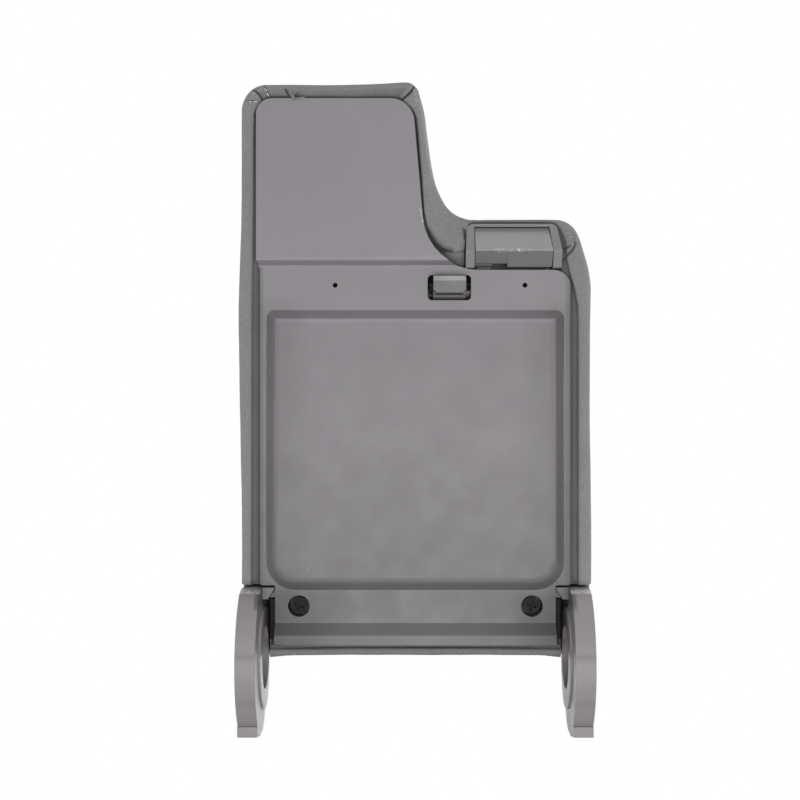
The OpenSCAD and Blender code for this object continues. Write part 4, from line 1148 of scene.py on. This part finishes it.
tongue_points, tongue_faces = [], []
for line, widths in TONGUE:
    coarse = np.array([(*px(x, y, PANEL_FACE_Z - z), z) for x, y, z in line])
    t = np.linspace(0, len(line) - 1, 17)
    path = np.stack([np.interp(t, range(len(line)), coarse[:, k]) for k in range(3)], 1)
    new_points, new_faces = tube(path, np.interp(t, range(len(line)), widths), flatness=0.45, sides=10)
    tongue_faces += [tuple(v + len(tongue_points) for v in face) for face in new_faces]
    tongue_points += new_points
tongue_cloth = thread("tongue cloth", grey(126, 126, 125))
tongue = mesh_object("cloth_tongue", np.array(tongue_points) * MM, tongue_faces, tongue_cloth)
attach(tongue, "lid")
print("stitches:", len(PALE_STITCHES) + len(GREY_STITCHES))

# %% [markdown]
# ## The moulded pieces
# A moulded edge is never razor sharp: it has a radius that catches a thin line of light. Each
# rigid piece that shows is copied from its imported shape, its flat faces are joined up again, and
# its sharp edges get a small round.


# %% Round the edges of the moulded pieces
SAME_PLACE, FLAT, SHARP, STILL_SHARP = 0.000002, 0.4, 28, 34


def softened(node, name, finish, body, width):
    shape = bmesh.new()
    shape.from_mesh(cad_nodes[node].data)
    bmesh.ops.remove_doubles(shape, verts=shape.verts, dist=SAME_PLACE)
    bmesh.ops.dissolve_limit(shape, angle_limit=math.radians(FLAT), verts=shape.verts, edges=shape.edges)
    bmesh.ops.recalc_face_normals(shape, faces=shape.faces)
    sharp = [edge for edge in shape.edges
             if len(edge.link_faces) == 2 and edge.calc_face_angle() > math.radians(SHARP)]
    bmesh.ops.bevel(shape, geom=sharp, offset=width * MM, segments=2, profile=0.5, affect="EDGES",
                    clamp_overlap=True)
    bmesh.ops.triangulate(shape, faces=[face for face in shape.faces if len(face.verts) > 4])
    mesh = bpy.data.meshes.new(name)
    shape.to_mesh(mesh)
    shape.free()
    mesh.materials.append(finish.material)
    mesh.shade_smooth()
    mesh.set_sharp_from_angle(angle=math.radians(STILL_SHARP))
    piece = bpy.data.objects.new(name, mesh)
    bpy.context.scene.collection.objects.link(piece)
    flat = piece.modifiers.new("flat faces stay flat", "WEIGHTED_NORMAL")
    flat.weight = 100
    flat.keep_sharp = True
    bpy.context.view_layer.objects.active = piece
    bpy.ops.object.modifier_apply(modifier=flat.name)
    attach(piece, body)
    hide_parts(node)
    return piece


softened("lower_panel", "panel_moulding", panel_plastic, "lid", 0.8)
softened("hinge_arm_left", "ear_left", ear_plastic, "lid", 0.6)
softened("hinge_arm_right", "ear_right", ear_plastic, "lid", 0.6)
softened("release_bezel", "release_frame", frame_plastic, "lid", 0.5)
softened("release_paddle", "paddle", paddle_plastic, "paddle", 0.3)
softened("latch_hook", "hook", hook_plastic, "hook", 0.5)
foam_finish = moulded("foam", grey(205, 196, 168), grain=0.4, rough=0.9)
foam_block = softened("foam_pad", "foam_block", foam_finish, "lid", 1.2)
print("rounded pieces: 7")

# %% [markdown]
# The carrier, bracket, screws, pins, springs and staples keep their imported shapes, because they
# are hidden or small and machine made. They only need a finish.

# %% Finishes of the hidden and small pieces
PLAIN = {
    "carrier": carrier_plastic, "latch_bracket": bracket_plastic,
    "panel_screw_left": black_steel, "panel_screw_right": black_steel,
    "cover_staples": zinc, "arm_screws": zinc, "bezel_screws": zinc, "bracket_screws": zinc,
    "paddle_pin": oiled_steel, "paddle_spring": oiled_steel,
    "latch_pin": oiled_steel, "latch_spring": oiled_steel}
for node, finish in PLAIN.items():
    cad_nodes[node].data.materials.clear()
    cad_nodes[node].data.materials.append(finish.material)
print("plain finishes on", len(PLAIN), "pieces")

# %% [markdown]
# ## Floor
# The floor lies far below the lid and behind the camera. There it throws a little soft light back
# up, and stays out of the picture.

# %% Floor
FLOOR_Z, REACH = -1.6, 0.7
FLOOR_CORNERS = [(-REACH, -REACH, FLOOR_Z), (REACH, -REACH, FLOOR_Z), (REACH, REACH, FLOOR_Z),
                 (-REACH, REACH, FLOOR_Z)]
floor_finish = Finish("pale floor")
floor_tint = floor_finish.mix(floor_finish.cloud(3), grey(236, 236, 236), grey(240, 240, 240))
floor_finish.set(Base_Color=floor_tint, Roughness=0.9)
floor = mesh_object("floor", FLOOR_CORNERS, [(0, 1, 2, 3)], floor_finish)
print("floor at", FLOOR_Z, "m")
